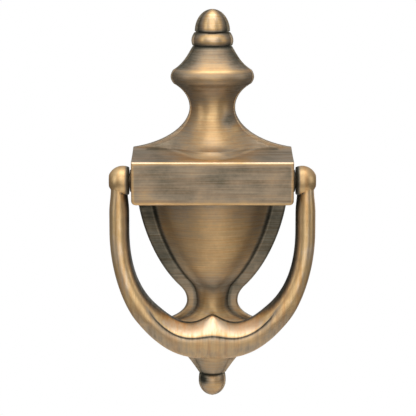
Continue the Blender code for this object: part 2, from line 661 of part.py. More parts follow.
def make_cap_nut(name, height, finish):
    """A hexagon with a domed, closed end and a blind hole for the stud."""
    seat = DOOR_THICKNESS + WASHER_THICKNESS + FIT_GAP
    top = seat + NUT_HEX_HEIGHT
    corner = NUT_ACROSS_FLATS / math.sqrt(3)
    hexagon = [(corner * math.cos(math.radians(60 * side)), corner * math.sin(math.radians(60 * side)))
               for side in range(6)]
    nut = add_object(name, skin([[(x, y, z) for x, z in hexagon] for y in (seat, top)]), finish)
    stations = [(top - CUT_PAST, NUT_DOME_RADIUS)]
    for step in range(ARC_STEPS):
        angle = math.radians(90) * step / ARC_STEPS
        stations.append((top + NUT_DOME_RADIUS * math.sin(angle), NUT_DOME_RADIUS * math.cos(angle)))
    combine(nut, add_guide(f"{name}_dome", turned(stations, "Y")), "UNION")
    hole_end = DOOR_THICKNESS + STUD_PAST_DOOR + FIT_GAP
    hole = rod(seat - CUT_PAST, hole_end, STUD_HOLE_DIAMETER, "Y")
    combine(nut, add_guide(f"{name}_hole", hole), "DIFFERENCE")
    nut.location = (0, 0, height)
    for guide_name in (f"{name}_dome", f"{name}_hole"):
        bpy.data.objects[guide_name].location = (0, 0, height)
    return nut


def hang_on_axis(pieces):
    """Parents the moving pieces to an empty on the hinge axis, keeping them where they are."""
    axis = bpy.data.objects.new("handle_axis", None)
    bpy.context.scene.collection.objects.link(axis)
    axis.location = (0, HINGE_Y, 0)
    for piece in pieces:
        piece.parent = axis
        piece.matrix_parent_inverse = Matrix.Translation((0, -HINGE_Y, 0))


def main():
    clear_scene()
    brass = material("antique_brass", (0.30, 0.22, 0.13), 0.38)
    dark_brass = material("antique_brass_dark", (0.22, 0.17, 0.11), 0.42)
    bright_brass = material("bright_brass", (0.46, 0.33, 0.16), 0.30)
    steel = material("zinc_plated_steel", (0.55, 0.56, 0.58), 0.35)
    make_back_plate(brass)
    make_strike_button(bright_brass)
    make_spacer("spacer_washer_left", -1, dark_brass)
    make_spacer("spacer_washer_right", 1, dark_brass)
    handle = make_handle(brass)
    pin = make_hinge_pin(dark_brass)
    hang_on_axis([handle, pin])
    for place, height in STUD_HEIGHTS.items():
        make_stud(f"mounting_stud_{place}", height, steel)
        make_washer(f"washer_{place}", height, steel)
        make_cap_nut(f"cap_nut_{place}", height, bright_brass)


main()
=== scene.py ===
"""The door knocker's visual model: an urn-shaped cast back plate, a bail handle on a through pin, a strike
button, and the studs, washers and cap nuts behind the door. Metres, X right, front -Y, Z up."""
import math

import bmesh
import bpy
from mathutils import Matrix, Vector


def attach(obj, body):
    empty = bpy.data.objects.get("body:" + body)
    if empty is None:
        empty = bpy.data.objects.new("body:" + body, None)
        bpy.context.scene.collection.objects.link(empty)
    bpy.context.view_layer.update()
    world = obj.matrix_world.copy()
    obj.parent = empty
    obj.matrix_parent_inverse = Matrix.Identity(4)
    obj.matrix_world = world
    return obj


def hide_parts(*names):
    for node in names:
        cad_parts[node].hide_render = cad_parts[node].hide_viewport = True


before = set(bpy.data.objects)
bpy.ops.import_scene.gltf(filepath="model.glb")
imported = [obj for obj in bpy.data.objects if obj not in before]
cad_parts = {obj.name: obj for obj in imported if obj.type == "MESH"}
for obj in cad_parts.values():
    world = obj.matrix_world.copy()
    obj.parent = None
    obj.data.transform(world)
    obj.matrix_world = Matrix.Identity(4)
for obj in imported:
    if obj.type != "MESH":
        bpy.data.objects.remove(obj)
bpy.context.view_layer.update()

MM = 0.001

# --- sizes shared with the CAD model ------------------------------------------------------------------
HINGE_Y = -14.0 * MM
PIN_RADIUS = 2.0 * MM
PIN_EDGE = 0.5 * MM
BORE_RADIUS = 2.3 * MM
FIT_GAP = 0.3 * MM            # between pieces that touch in the real thing

# Stations of the plate's outline: height, half width, margin beside the raised body, depth of that body
# and fillet at its foot, all in mm. The last value, bell, is 0 for a half-ellipse section and 1 for a bell.
DOME_FOOT = (56.9, 6.85, 0.9, 8.2, 0.5, 0.0)
BEAD_TOP = (56.4, 7.0, 0.7, 7.4, 0.5, 0.0)
BEAD_FOOT = (51.0, 7.7, 0.6, 7.85, 0.5, 0.0)
RIM_TOP = (41.85, 15.3, 0.5, 12.6, 1.0, 0.0)
RIM_FOOT = (36.65, 15.1, 0.5, 12.6, 1.0, 0.0)
NECK = (27.4, 8.9, 0.5, 9.6, 1.0, 0.0)
SHOULDER = (11.6, 31.0, 6.0, 18.5, 4.0, 1.0)
BOWL_TOP = (-8.1, 29.5, 5.9, 14.4, 5.0, 0.12)
BOWL_FOOT = (-42.9, 13.7, 5.9, 9.2, 3.0, 0.1)
STEM = (-49.7, 10.05, 3.8, 7.6, 1.6, 0.0)
FOOT_TOP = (-57.4, 18.6, 5.0, 8.2, 1.0, 0.0)
FOOT_BOTTOM = (-61.0, 18.6, 5.0, 8.2, 1.0, 0.0)
TAPER_FOOT = (-78.7, 5.35, 0.5, 6.2, 0.5, 0.0)
TIP_NECK = (-79.4, 4.95, 0.5, 5.5, 0.5, 0.0)
TIP_SWELL = (-82.1, 5.4, 0.4, 7.0, 0.5, 0.0)
DOME_HEIGHT = 9.0 * MM
TIP_HEIGHT = 6.1 * MM
SHOULDER_Z = SHOULDER[0] * MM
BEAD_FOOT_Z = BEAD_FOOT[0] * MM
BLOCK_FOOT_Z = BOWL_TOP[0] * MM
CREST_Z = 8.5 * MM

# Each curve between two stations: its two control points, as shares of the height and of the other sizes
TRUMPET_CURVE = ((0.1375, 0.635), (0.5875, 1.0))
UNDER_RIM_CURVE = ((0.43, 0.0), (0.79, 0.42))
LID_CURVE = ((0.27, 0.55), (0.68, 0.77))
BOWL_CURVE = ((0.311, 0.081), (0.738, 0.42))
BOWL_FOOT_CURVE = ((0.3, 0.6), (0.55, 1.0))
STEM_CURVE = ((0.38, 0.0), (0.78, 0.27))
TAPER_CURVE = ((0.29, 0.24), (0.61, 0.64))
TIP_NECK_CURVE = ((0.1, 0.5), (0.6, 1.0))
TIP_CURVE = ((0.05, 0.5), (0.6, 1.0))
RIM_SWELL = 1.05 * MM
BEAD_SWELL = 0.75 * MM
BEAD_GROOVE = {"cut": 0.35 * MM, "width": 0.45 * MM}
DOME_GROOVE = {"cut": 0.45 * MM, "width": 0.5 * MM}
END_TURN = math.radians(86)   # how far the rounded ends go round before they are closed flat

BLOCK_HALF_WIDTH = 31.0 * MM
BLOCK_DEPTH = 24.5 * MM
BLOCK_CORNER = 1.7 * MM
BLOCK_EDGE = 0.6 * MM
BLOCK_FILLET = 0.5 * MM
BLOCK_BODY = 0.5              # depth of the raised body inside the block, as a share of the toe's
CREST_RADIUS = 0.8 * MM
CREST_TURN = math.radians(80)
ROOF_SAG = 0.4 * MM
ROOF_BODY_CURVE = (0.5, 0.9)
ROOF_FOOT_FILLET = 2.0 * MM
FLANGE = 3.2 * MM
FLANGE_EDGE = 0.9 * MM
ROOT = 1.0 * MM               # depth of the raised body at its foot, below the flange's face
ROOT_SLOPE = 3                # how steeply it goes on down past its foot
EDGE_LIMIT = 0.6              # most of a margin's width that its rounded edge may take
BACK_SPAN = 0.985             # share of the block's half width that the back's columns reach
BACK_MARGIN_SPAN = 0.8        # the same for the margin elsewhere
WALL = 2.8 * MM
BLOCK_WALL = 3.4 * MM
POCKET_SIDE_X = BLOCK_HALF_WIDTH - BLOCK_WALL
WEB = 5.0 * MM
BOSS_RADIUS = 4.8 * MM
TOE_HALF_WIDTH = 25.0 * MM
TOE_DEPTH = 22.6 * MM
POCKET_Z = (-4.7 * MM, 6.6 * MM)
POCKET_FADE = 0.4 * MM        # height over which a pocket's end rises
HOLLOWS_Z = ((-41.5 * MM, -11.5 * MM), (12.2 * MM, 41.2 * MM))
HOLLOW_FADE = 0.8 * MM

STUD_HEIGHTS = {"upper": (RIM_FOOT[0] + RIM_TOP[0]) / 2 * MM, "lower": STEM[0] * MM}
STUD_RADIUS = 2.1 * MM
STUD_ENGAGEMENT = 5.0 * MM
STUD_END_Y = 50.4 * MM
STUD_HOLE_RADIUS = 2.4 * MM
THREAD_PITCH = 0.7 * MM
THREAD_DEPTH = 0.4 * MM
DOOR_Y = 45.0 * MM
WASHER_RADIUS = 6.0 * MM
WASHER_THICKNESS = 1.2 * MM
WASHER_EDGE = 0.25 * MM
NUT_SEAT_Y = 46.5 * MM
NUT_ACROSS_FLATS = 8.0 * MM
NUT_HEX_HEIGHT = 4.0 * MM
NUT_DOME_RADIUS = 3.5 * MM
NUT_DOME_TURN = math.radians(88)
NUT_FACE_RADIUS = 3.6 * MM
NUT_FACE_HEIGHT = 0.12 * MM
NUT_FACE_STEP = 0.15 * MM
NUT_CHAMFER_RADIUS = 3.95 * MM
NUT_CHAMFER_SLOPE = 1.5

STRIKE_Z = -63.0 * MM
STRIKE_SEAT_Y = -7.9 * MM
STRIKE_FACE_Y = -10.3 * MM
STRIKE_RADIUS = 4.5 * MM
STRIKE_EDGE = 0.7 * MM
STRIKE_CROWN = 0.35 * MM
STRIKE_BACK_EDGE = 0.15 * MM
SHANK_RADIUS = 2.0 * MM
SHANK_LENGTH = 5.0 * MM
SHANK_CHAMFER = 0.1 * MM
SEAT_CUT = 6.0 * MM           # how far in front of its seat the button's recess is cut

SPACER_NEAR_X = 31.3 * MM
SPACER_THICKNESS = 0.5 * MM
SPACER_RADIUS = 4.3 * MM
SPACER_EDGE = 0.12 * MM

KNUCKLE_RADIUS = 5.8 * MM
KNUCKLE_X = 34.6 * MM
KNUCKLE_FACE_X = 32.1 * MM
KNUCKLE_CUT_X = (30.0 * MM, 44.0 * MM)      # from beside a knuckle to past its outer side
ARM_INNER_X = 32.3 * MM
ARM_OUTER_X = 40.0 * MM
ARM_STRAIGHT_Z = -20.0 * MM
ARM_NARROWING = 0.7 * MM      # on each side, where an arm meets its knuckle
ARM_BACK_Y = -9.5 * MM
ARM_DEPTH = 9.0 * MM
BAR_BACK_Y = -10.6 * MM
BAR_DEPTH = 12.2 * MM
HANDLE_BOTTOM_Z = -70.1 * MM
CORNER_IN = 9.7 * MM
CORNER_UP = 15.3 * MM
SHOULDER_IN = 11.2 * MM
SHOULDER_UP = 20.1 * MM
TROUGH_X = 9.0 * MM
TROUGH_UP = 14.0 * MM
CREST_UP = 17.2 * MM
OUTER_STRAIGHT_SHARE = 0.48   # the handle's curve controls, as shares of the stretch that they lie along
OUTER_CORNER_SHARE = 0.40
OUTER_BOTTOM_SHARE = 0.3
INNER_STRAIGHT_SHARE = 0.44
SHOULDER_SHARE = 0.36
SHOULDER_ABOVE = (1.8, 1.5)
SHOULDER_SLOPE = 0.84
CREST_WAIST_SHARE = 0.5
CREST_TOP_SHARE = 0.2
BAR_SHARES = (0.22, 0.55)     # where along the bend the section turns from the arm's to the bar's

# --- fineness -----------------------------------------------------------------------------------------
RING_STEP = 0.55 * MM         # most height between two rings of the plate
BODY_COLUMNS = 40             # on each side of the raised body
MARGIN_COLUMNS = 12
EDGE_COLUMNS = 6
SIDE_SHARES = (0.7, 0.35, 0.0)     # heights of the points down a side, as shares of its edge's height
MARGIN_CROWDING = 1.6         # above 1 the margin's columns crowd towards the raised body
BACK_COLUMNS = 30
BACK_MARGIN_COLUMNS = 8
END_STEPS = 22
CREST_STEPS = 7
ROOF_STEPS = 36
ARM_STEPS = 24
BEND_STEPS = 110
KNUCKLE_STEPS = 40
EDGE_STEPS = 5
ROUND_SIDES = 64
BORE_SIDES = 40
WASHER_SIDES = 56
STUD_SIDES = 22
STUD_STEPS_PER_TURN = 7
NUT_SIDES = 96
SMOOTH_ANGLE = math.radians(32)


# --- small helpers ------------------------------------------------------------------------------------
def mix(start, end, share):
    return start + (end - start) * share


def clamp(value):
    return max(0.0, min(1.0, value))


def smooth(low, high, value):
    """0 below low, 1 above high, with an S curve between."""
    share = clamp((value - low) / (high - low))
    return share * share * (3 - 2 * share)


def soft_max(first, second, width):
    """The larger of two depths, with the corner between them filled over about width."""
    near = max(width - abs(first - second), 0.0)
    return max(first, second) + near * near / (4 * width)


def bezier(first, second, third, fourth, share):
    rest = 1 - share
    return rest**3 * first + 3 * rest**2 * share * second + 3 * rest * share**2 * third + share**3 * fourth


def lookup(table, place):
    """Linear reading of a table of (place, value) rows sorted from low to high."""
    if place <= table[0][0]:
        return table[0][1]
    for (low, first), (high, second) in zip(table, table[1:]):
        if place <= high:
            return mix(first, second, (place - low) / (high - low))
    return table[-1][1]


# --- the plate's rows ---------------------------------------------------------------------------------
def station(height, half_width, margin, depth, fillet, bell):
    """A row in metres: (height, half width, raised half width, depth of the raised body, fillet, bell)."""
    return (height * MM, half_width * MM, (half_width - margin) * MM, depth * MM, fillet * MM, bell)


def steps_for(start, end):
    return max(6, math.ceil(abs(end[0] - start[0]) / RING_STEP))


def sweep(start, end, leave, arrive):
    """Rows after start up to end along a cubic whose control points are shares of (height, widths)."""
    rows = []
    count = steps_for(start, end)
    for step in range(1, count + 1):
        share = step / count
        height_share = bezier(0, leave[0], arrive[0], 1, share)
        width_share = bezier(0, leave[1], arrive[1], 1, share)
        sizes = [mix(low, high, width_share) for low, high in zip(start[1:], end[1:])]
        rows.append((mix(start[0], end[0], height_share), *sizes))
    return rows


def swell(start, end, amount):
    """Rows after start up to end, bulging by amount half way."""
    rows = []
    count = steps_for(start, end)
    for step in range(1, count + 1):
        share = step / count
        bulge = amount * (1 - (2 * share - 1) ** 2)
        sizes = [mix(low, high, share) + bulge for low, high in zip(start[1:4], end[1:4])]
        shaping = [mix(low, high, share) for low, high in zip(start[4:], end[4:])]
        rows.append((mix(start[0], end[0], share), *sizes, *shaping))
    return rows


def round_end(start, height):
    """Rows after start up to an elliptical end that is height further on."""
    rows = []
    for step in range(1, END_STEPS + 1):
        angle = END_TURN * step / END_STEPS
        shrink = math.cos(angle)
        depth = FLANGE + (start[3] - FLANGE) * shrink
        rows.append((start[0] + height * math.sin(angle), start[1] * shrink, start[2] * shrink, depth,
                     start[4] * shrink, start[5]))
    return rows


def groove(row, height, cut, width):
    """Three rows that cut a narrow groove at a height, with row's sizes above it."""
    rows = []
    for share, inset in ((0.15, cut), (0.85, cut), (1.0, 0.0)):
        rows.append((height + width * share, row[1] - inset, row[2] - inset, row[3] - 2 * inset, *row[4:]))
    return rows


def upper_rows():
    shoulder, neck, rim_foot, rim_top, bead_foot, bead_top, dome_foot = (
        station(*sizes) for sizes in (SHOULDER, NECK, RIM_FOOT, RIM_TOP, BEAD_FOOT, BEAD_TOP, DOME_FOOT))
    rows = [shoulder]
    rows += sweep(shoulder, neck, *TRUMPET_CURVE)
    rows += sweep(neck, rim_foot, *UNDER_RIM_CURVE)
    rows += swell(rows[-1], rim_top, RIM_SWELL)
    rows += sweep(rim_top, bead_foot, *LID_CURVE)
    rows += groove(bead_foot, bead_foot[0], **BEAD_GROOVE)
    rows += swell(rows[-1], bead_top, BEAD_SWELL)
    rows += groove(dome_foot, bead_top[0], **DOME_GROOVE)
    rows += round_end(dome_foot, DOME_HEIGHT - DOME_GROOVE["width"])
    return rows


def lower_rows():
    bowl_top, bowl_foot, stem, foot_top, foot_bottom, taper_foot, tip_neck, tip_swell = (
        station(*sizes)
        for sizes in (BOWL_TOP, BOWL_FOOT, STEM, FOOT_TOP, FOOT_BOTTOM, TAPER_FOOT, TIP_NECK, TIP_SWELL))
    rows = [bowl_top]
    rows += sweep(bowl_top, bowl_foot, *BOWL_CURVE)
    rows += sweep(bowl_foot, stem, *BOWL_FOOT_CURVE)
    rows += sweep(stem, foot_top, *STEM_CURVE)
    rows += swell(foot_top, foot_bottom, FLANGE_EDGE)
    rows += sweep(foot_bottom, taper_foot, *TAPER_CURVE)
    rows += sweep(taper_foot, tip_neck, *TIP_NECK_CURVE)
    rows += sweep(tip_neck, tip_swell, *TIP_CURVE)
    rows += round_end(tip_swell, -TIP_HEIGHT)
    return rows


# Heights of the block's rows above its foot in mm, close together at its edges and at the pockets' ends
BLOCK_RISES = [0.02, 0.05, 0.15, 0.3, 0.45, 0.6, 0.9, 1.3, 1.7, 2.4, 3.15, 3.65, 5.0, 6.5, 7.7, 8.9, 10.1,
               11.3, 12.5, 14.1, 14.6, 15.1, 15.8]


def block_rows():
    """(row, ground depth) of the hinge block and its roof, from the foot up."""
    rows = []
    for up in BLOCK_RISES:
        height = BLOCK_FOOT_Z + up * MM
        side = max(0.0, 1 - up * MM / BLOCK_CORNER)
        front = max(0.0, 1 - up * MM / BLOCK_EDGE)
        half_width = BLOCK_HALF_WIDTH - BLOCK_CORNER * (1 - math.sqrt(1 - side * side))
        ground = BLOCK_DEPTH - BLOCK_EDGE * (1 - math.sqrt(1 - front * front))
        rows.append(((height, half_width, TOE_HALF_WIDTH, BLOCK_BODY * TOE_DEPTH, BLOCK_FILLET, 1.0), ground))
    for step in range(1, CREST_STEPS + 1):
        angle = CREST_TURN * step / CREST_STEPS
        height = CREST_Z - CREST_RADIUS * (1 - math.sin(angle))
        ground = BLOCK_DEPTH - CREST_RADIUS * (1 - math.cos(angle))
        body = mix(BLOCK_BODY, 1.0, step / CREST_STEPS) * TOE_DEPTH
        rows.append(((height, BLOCK_HALF_WIDTH, TOE_HALF_WIDTH, body, BLOCK_FILLET, 1.0), ground))
    roof_foot = height
    roof_front = ground
    for step in range(1, ROOF_STEPS):
        share = step / ROOF_STEPS
        sag = ROOF_SAG * (1 - (2 * share - 1) ** 2)
        height = mix(roof_foot, SHOULDER_Z, share) - sag
        ground = mix(roof_front, FLANGE, share)
        rise = (height - CREST_Z) / (SHOULDER_Z - CREST_Z)
        leaning = bezier(0, *ROOF_BODY_CURVE, 1, clamp(rise))
        body = mix(TOE_DEPTH, SHOULDER[3] * MM, leaning)
        fillet = mix(ROOF_FOOT_FILLET, SHOULDER[4] * MM, share)
        rows.append(((height, BLOCK_HALF_WIDTH, TOE_HALF_WIDTH, body, fillet, 1.0), ground))
    return rows


# --- wear and painted light on the brass: 0 is rubbed bright and painted highlight, 1 is darkest patina and painted shade ---
# (height in mm, wear and painted light on the crown of the raised body) from the tip up: rubbed wear and
# patina, painted highlights in the bright lines on the rim's top, the bead and the dome, rubbed wear and
# painted highlight on the block's crest and foot edges, and painted shadow in the dark bands under the block
# and under the rim
CROWN_WEAR_AND_LIGHT = [(-88, 0.5), (-83, 0.36), (-80.0, 0.42), (-79.4, 0.85), (-78.8, 0.5), (-75, 0.44), (-62, 0.36),
             (-61, 0.12), (-57.6, 0.12), (-57, 0.4), (-54, 0.12), (-50, 0.22), (-46, 0.45), (-43, 0.65),
             (-40, 0.5), (-30, 0.33), (-18, 0.34), (-11, 0.44), (-9.5, 0.6), (-8.2, 1.0), (-8.05, 0.2),
             (-7.4, 0.25), (-6.9, 0.6), (0, 0.67), (6.5, 0.65), (7.6, 0.5), (8.0, 0.0), (8.6, 0.05),
             (9.0, 0.4), (11.6, 0.48), (14, 0.42), (20, 0.31), (27, 0.28), (31, 0.38), (34.5, 0.52),
             (36.6, 0.64), (37.3, 0.5), (38.5, 0.42), (41.0, 0.5), (41.6, 0.2), (42.0, 0.18), (42.6, 0.42),
             (46, 0.42), (50.2, 0.5), (50.9, 1.0), (51.5, 0.8), (52.2, 0.3), (53.0, 0.02), (55.2, 0.08),
             (56.2, 0.7), (56.7, 1.0), (57.2, 0.5), (58.2, 0.1), (62, 0.04), (65.4, 0.25)]
# (height in mm, patina and painted shade along the foot of the raised body) and (height in mm, patina and
# painted shade on the flat margin)
VALLEY_PATINA_AND_SHADE = [(-76, 0.0), (-70, 0.3), (-62, 0.5), (-57, 0.7), (-50, 0.75), (-43, 0.86), (-20, 0.88),
              (-9, 0.96), (-8, 0.0), (50, 0.0), (56.6, 0.3), (58, 0.8), (65.4, 0.6)]
MARGIN_PATINA_AND_SHADE = [(-88, 0.5), (-62, 0.5), (-57, 0.4), (-50, 0.46), (-43, 0.7), (-25, 0.84), (-9, 0.86),
              (-8, 0.5), (11, 0.55), (20, 0.5), (58, 0.5), (65.4, 0.4)]
# (height in mm, how much painted shade the body gets towards its sides)
FLANK_PAINTED_SHADE = [(-88, 0.3), (-62, 0.3), (-57, 0.12), (-8.1, 0.12), (-8, 0.48), (9, 0.48), (18, 0.24),
             (34, 0.22), (41, 0.3), (43, 0.66), (50, 0.66), (52, 0.55), (56, 0.6), (58, 0.8), (65.4, 0.8)]
# Single darker or brighter patches: (x, height and radius in mm, change of the wear and painted light value)
BLOTCHES = [(5.8, 22.8, 2.6, 0.42), (9.2, 19.6, 1.6, -0.22), (-3.5, 30.5, 3.0, 0.12),
            (-27.0, -4.0, 5.0, -0.14), (8.0, -24.0, 6.0, -0.12), (-14.0, -18.0, 5.0, 0.14),
            (24.0, 1.0, 5.0, -0.08), (3.0, -84.0, 1.8, -0.2), (-3.4, -81.4, 1.6, 0.5)]
LEAST_AGE = 0.02              # anything lower on a mesh is a wall that a cut has opened
BORE_AGE = 0.9
BLOCK_SIDE_WEAR_AND_HIGHLIGHT = 0.2
BLOCK_SIDE_SHARE = 0.8
ROOF_END_PATINA_AND_SHADE = 0.62
OUTLINE_PAINTED_SHADE = 0.6             # painted shade: at least this along the outline's edge between the shoulder and the bead
# Painted shade on the plate's sideways-facing side walls.
SIDE_PAINTED_SHADE = 0.7
BACK_AGE = 0.75
BACK_AGE_PER_MM = 0.02
BALL_AGES = (0.24, 0.4)       # at the front and the back of a knuckle
BLOCK_SIDE_FADE = (1.5 * MM, 0.3 * MM)      # in from the block's side, where the edge wear and painted highlight start and are full
ROOF_FADE = (0.35, 0.8)       # shares of the raised body's half width, where the roof's ends darken with patina and painted shade
FLANK_START = 0.3             # the same, where the flanks start
MARGIN_FADE = 1.5 * MM
VALLEY_WIDTH = 0.5 * MM
BOWL_VALLEY_WIDTHS = (1.9 * MM, 2.2 * MM)   # towards the body and towards the margin


def plate_wear_and_light(x, height, half_width, raised, ground):
    """Wear and painted light at a point on the plate's front: the crown's, with painted shade down the
    flanks, and darkest in the valley, where tarnish and painted shade lie.
    """
    crown = lookup(CROWN_WEAR_AND_LIGHT, height / MM)
    # Near the block's sides: rubbed edge wear and a painted highlight.
    if BLOCK_FOOT_Z < height < CREST_Z - CREST_RADIUS:
        start, full = BLOCK_SIDE_FADE
        near_side = smooth(half_width - start, half_width - full, x)
        return mix(crown, BLOCK_SIDE_WEAR_AND_HIGHLIGHT, BLOCK_SIDE_SHARE * near_side)
    across = x / raised if raised > 0 else 0.0
    # Towards the roof's ends: patina and painted shade.
    if CREST_Z < height < SHOULDER_Z:
        crown = mix(crown, ROOF_END_PATINA_AND_SHADE, smooth(*ROOF_FADE, across))
    if ground > 2 * FLANGE:
        return clamp(crown)
    # Painted shade down the flanks of the raised body.
    wear_and_painted_light = mix(crown, 1.0, smooth(FLANK_START, 1.0, across) * lookup(FLANK_PAINTED_SHADE, height / MM))
    # Patina and painted shade on the flat margin.
    if x > raised:
        wear_and_painted_light = mix(wear_and_painted_light, lookup(MARGIN_PATINA_AND_SHADE, height / MM), smooth(raised, raised + MARGIN_FADE, x))
    # Darkest in the valley at the body's foot: patina in the hollow and painted shade.
    width = VALLEY_WIDTH
    if height < BLOCK_FOOT_Z:
        width = BOWL_VALLEY_WIDTHS[0] if x < raised else BOWL_VALLEY_WIDTHS[1]
    valley = lookup(VALLEY_PATINA_AND_SHADE, height / MM) * math.exp(-((x - raised) / width) ** 2)
    return clamp(max(wear_and_painted_light, valley))


# --- the plate's rings --------------------------------------------------------------------------------
def crown_share(x, raised, bell):
    """Height of the raised body's section at x, from 1 on the centre line to 0 at its foot."""
    across = min(x / raised, 1.0)
    return mix(math.sqrt(1 - across * across), 0.5 + 0.5 * math.cos(math.pi * across), bell)


def front_half(row, ground, edge_radius):
    """(x, depth, wear and painted light) points from the centre of the front out to the door, on one side."""
    height, half_width, raised, depth, fillet, bell = row
    edge = min(edge_radius, EDGE_LIMIT * (half_width - raised))
    points = []
    for step in range(BODY_COLUMNS):
        angle = math.pi / 2 * step / BODY_COLUMNS
        x = raised * math.sin(angle)
        body = ROOT + (depth - ROOT) * crown_share(x, raised, bell)
        points.append((x, soft_max(body, ground, fillet)))
    for step in range(MARGIN_COLUMNS):
        share = (step / (MARGIN_COLUMNS - 1)) ** MARGIN_CROWDING
        x = mix(raised, half_width - edge, share)
        body = ROOT - ROOT_SLOPE * (x - raised)
        points.append((x, soft_max(body, ground, fillet)))
    last = points[-1][1]
    for step in range(1, EDGE_COLUMNS + 1):
        angle = math.pi / 2 * step / EDGE_COLUMNS
        points.append((half_width - edge + edge * math.sin(angle), last - edge + edge * math.cos(angle)))
    points_with_wear_and_light = [(x, min(deep, BLOCK_DEPTH), plate_wear_and_light(x, height, half_width, raised, ground))
            for x, deep in points]
    # Painted shade along the rounded outline edge between the shoulder and the bead.
    if SHOULDER_Z < height < BEAD_FOOT_Z:
        rim = len(points_with_wear_and_light) - EDGE_COLUMNS - 2
        points_with_wear_and_light[rim:] = [(x, deep, max(wear_and_painted_light, OUTLINE_PAINTED_SHADE)) for x, deep, wear_and_painted_light in points_with_wear_and_light[rim:]]
    # Painted shade on the side walls, which face sideways.
    for share in SIDE_SHARES:
        points_with_wear_and_light.append((half_width, (last - edge) * share, SIDE_PAINTED_SHADE))
    return points_with_wear_and_light


def between(low, high, fade, value):
    """1 between low and high and 0 outside, with a fade of that width centred on each."""
    return (smooth(low - fade / 2, low + fade / 2, value)
            * (1 - smooth(high - fade / 2, high + fade / 2, value)))


def hollow_depth(x, height, row):
    """How deep the casting is hollowed from behind at a point."""
    raised, body, bell = row[2], row[3], row[5]
    pocket = (smooth(WEB - 0.2 * MM, WEB + 0.5 * MM, x)
              * (1 - smooth(POCKET_SIDE_X - 0.5 * MM, POCKET_SIDE_X + 0.2 * MM, x))
              * between(*POCKET_Z, POCKET_FADE, height))
    deep = pocket * (BLOCK_DEPTH - BLOCK_WALL)
    for low, high in HOLLOWS_Z:
        window = smooth(low, low + HOLLOW_FADE, height) * (1 - smooth(high - HOLLOW_FADE, high, height))
        inner = raised - WALL
        room = body - WALL - ROOT
        if window > 0 and inner > ROOT and room > ROOT and x < inner:
            front = ROOT + (body - ROOT) * crown_share(x, raised, bell) - WALL
            deep = max(deep, window * min(ROOT + room * math.sqrt(1 - (x / inner) ** 2), front))
    for boss in STUD_HEIGHTS.values():
        away = math.hypot(x, height - boss)
        deep *= smooth(BOSS_RADIUS - 0.2 * MM, BOSS_RADIUS + 0.3 * MM, away)
    return deep


def back_half(row, in_block):
    """(x, depth, wear and painted light) points across the back, from the centre out, on one side."""
    height, half_width, raised = row[:3]
    points = []
    inner = max(raised - WALL, 0.5 * raised)
    rim = BACK_COLUMNS - BACK_MARGIN_COLUMNS
    for step in range(BACK_COLUMNS):
        if in_block:
            x = half_width * BACK_SPAN * step / (BACK_COLUMNS - 1)
        elif step < rim:
            x = inner * math.sin(math.pi / 2 * step / rim)
        else:
            reach = mix(inner, half_width, BACK_MARGIN_SPAN)
            x = mix(inner, reach, (step - rim) / (BACK_MARGIN_COLUMNS - 1))
        deep = hollow_depth(x, height, row)
        points.append((x, deep, clamp(BACK_AGE + BACK_AGE_PER_MM * deep / MM)))
    return points


def plate_ring(row, ground=None):
    """A closed ring of (point, wear and painted light) at one height; ground is the depth of the block's
    front there.
    """
    height = row[0]
    in_block = ground is not None
    front = front_half(row, ground, BLOCK_EDGE) if in_block else front_half(row, FLANGE, FLANGE_EDGE)
    back = back_half(row, in_block)
    right = list(reversed(front))
    left = [(-x, deep, wear_and_painted_light) for x, deep, wear_and_painted_light in front[1:]]
    far = [(-x, deep, wear_and_painted_light) for x, deep, wear_and_painted_light in reversed(back)]
    near = [(x, deep, wear_and_painted_light) for x, deep, wear_and_painted_light in back[1:]]
    ring = []
    for x, deep, wear_and_painted_light in right + left + far + near:
        for spot_x, spot_height, radius, change in BLOTCHES:
            away = math.hypot(x - spot_x * MM, height - spot_height * MM) / (radius * MM)
            wear_and_painted_light += change * math.exp(-away * away)
        ring.append((Vector((x, -deep, height)), clamp(wear_and_painted_light)))
    return ring


def loft(name, rings, closed=False):
    """A mesh through equal rings of (point, wear and painted light), with that value kept as an attribute."""
    shape = bmesh.new()
    wear_and_light_layer = shape.verts.layers.float.new("wear_and_painted_light")
    loops = []
    for ring in rings:
        loop = []
        for point, wear_and_painted_light in ring:
            vertex = shape.verts.new(point)
            vertex[wear_and_light_layer] = max(wear_and_painted_light, LEAST_AGE)
            loop.append(vertex)
        loops.append(loop)
    pairs = list(zip(loops, loops[1:]))
    if closed:
        pairs.append((loops[-1], loops[0]))
    for lower, upper in pairs:
        for index in range(len(lower)):
            following = (index + 1) % len(lower)
            shape.faces.new((lower[index], lower[following], upper[following], upper[index]))
    if not closed:
        shape.faces.new(loops[0])
        shape.faces.new(list(reversed(loops[-1])))
    bmesh.ops.recalc_face_normals(shape, faces=shape.faces)
    mesh = bpy.data.meshes.new(name)
    shape.to_mesh(mesh)
    shape.free()
    mesh.shade_smooth()
    mesh.set_sharp_from_angle(angle=SMOOTH_ANGLE)
    item = bpy.data.objects.new(name, mesh)
    bpy.context.scene.collection.objects.link(item)
    return item


def combine(item, tool, operation):
    """Applies a Boolean to item's mesh and removes the tool."""
    change = item.modifiers.new("combine", "BOOLEAN")
    change.operation = operation
    change.object = tool
    change.solver = "EXACT"
    graph = bpy.context.evaluated_depsgraph_get()
    mesh = bpy.data.meshes.new_from_object(item.evaluated_get(graph))
    item.modifiers.clear()
    item.data = mesh
    bpy.data.objects.remove(tool, do_unlink=True)
    return item


def drill(item, axis, near, far, radius, centre):
    """Cuts a round hole along an axis, from near to far."""
    rings = turned_rings([(near, radius, BORE_AGE), (far, radius, BORE_AGE)], axis, centre, BORE_SIDES)
    combine(item, loft("drill_tool", rings), "DIFFERENCE")


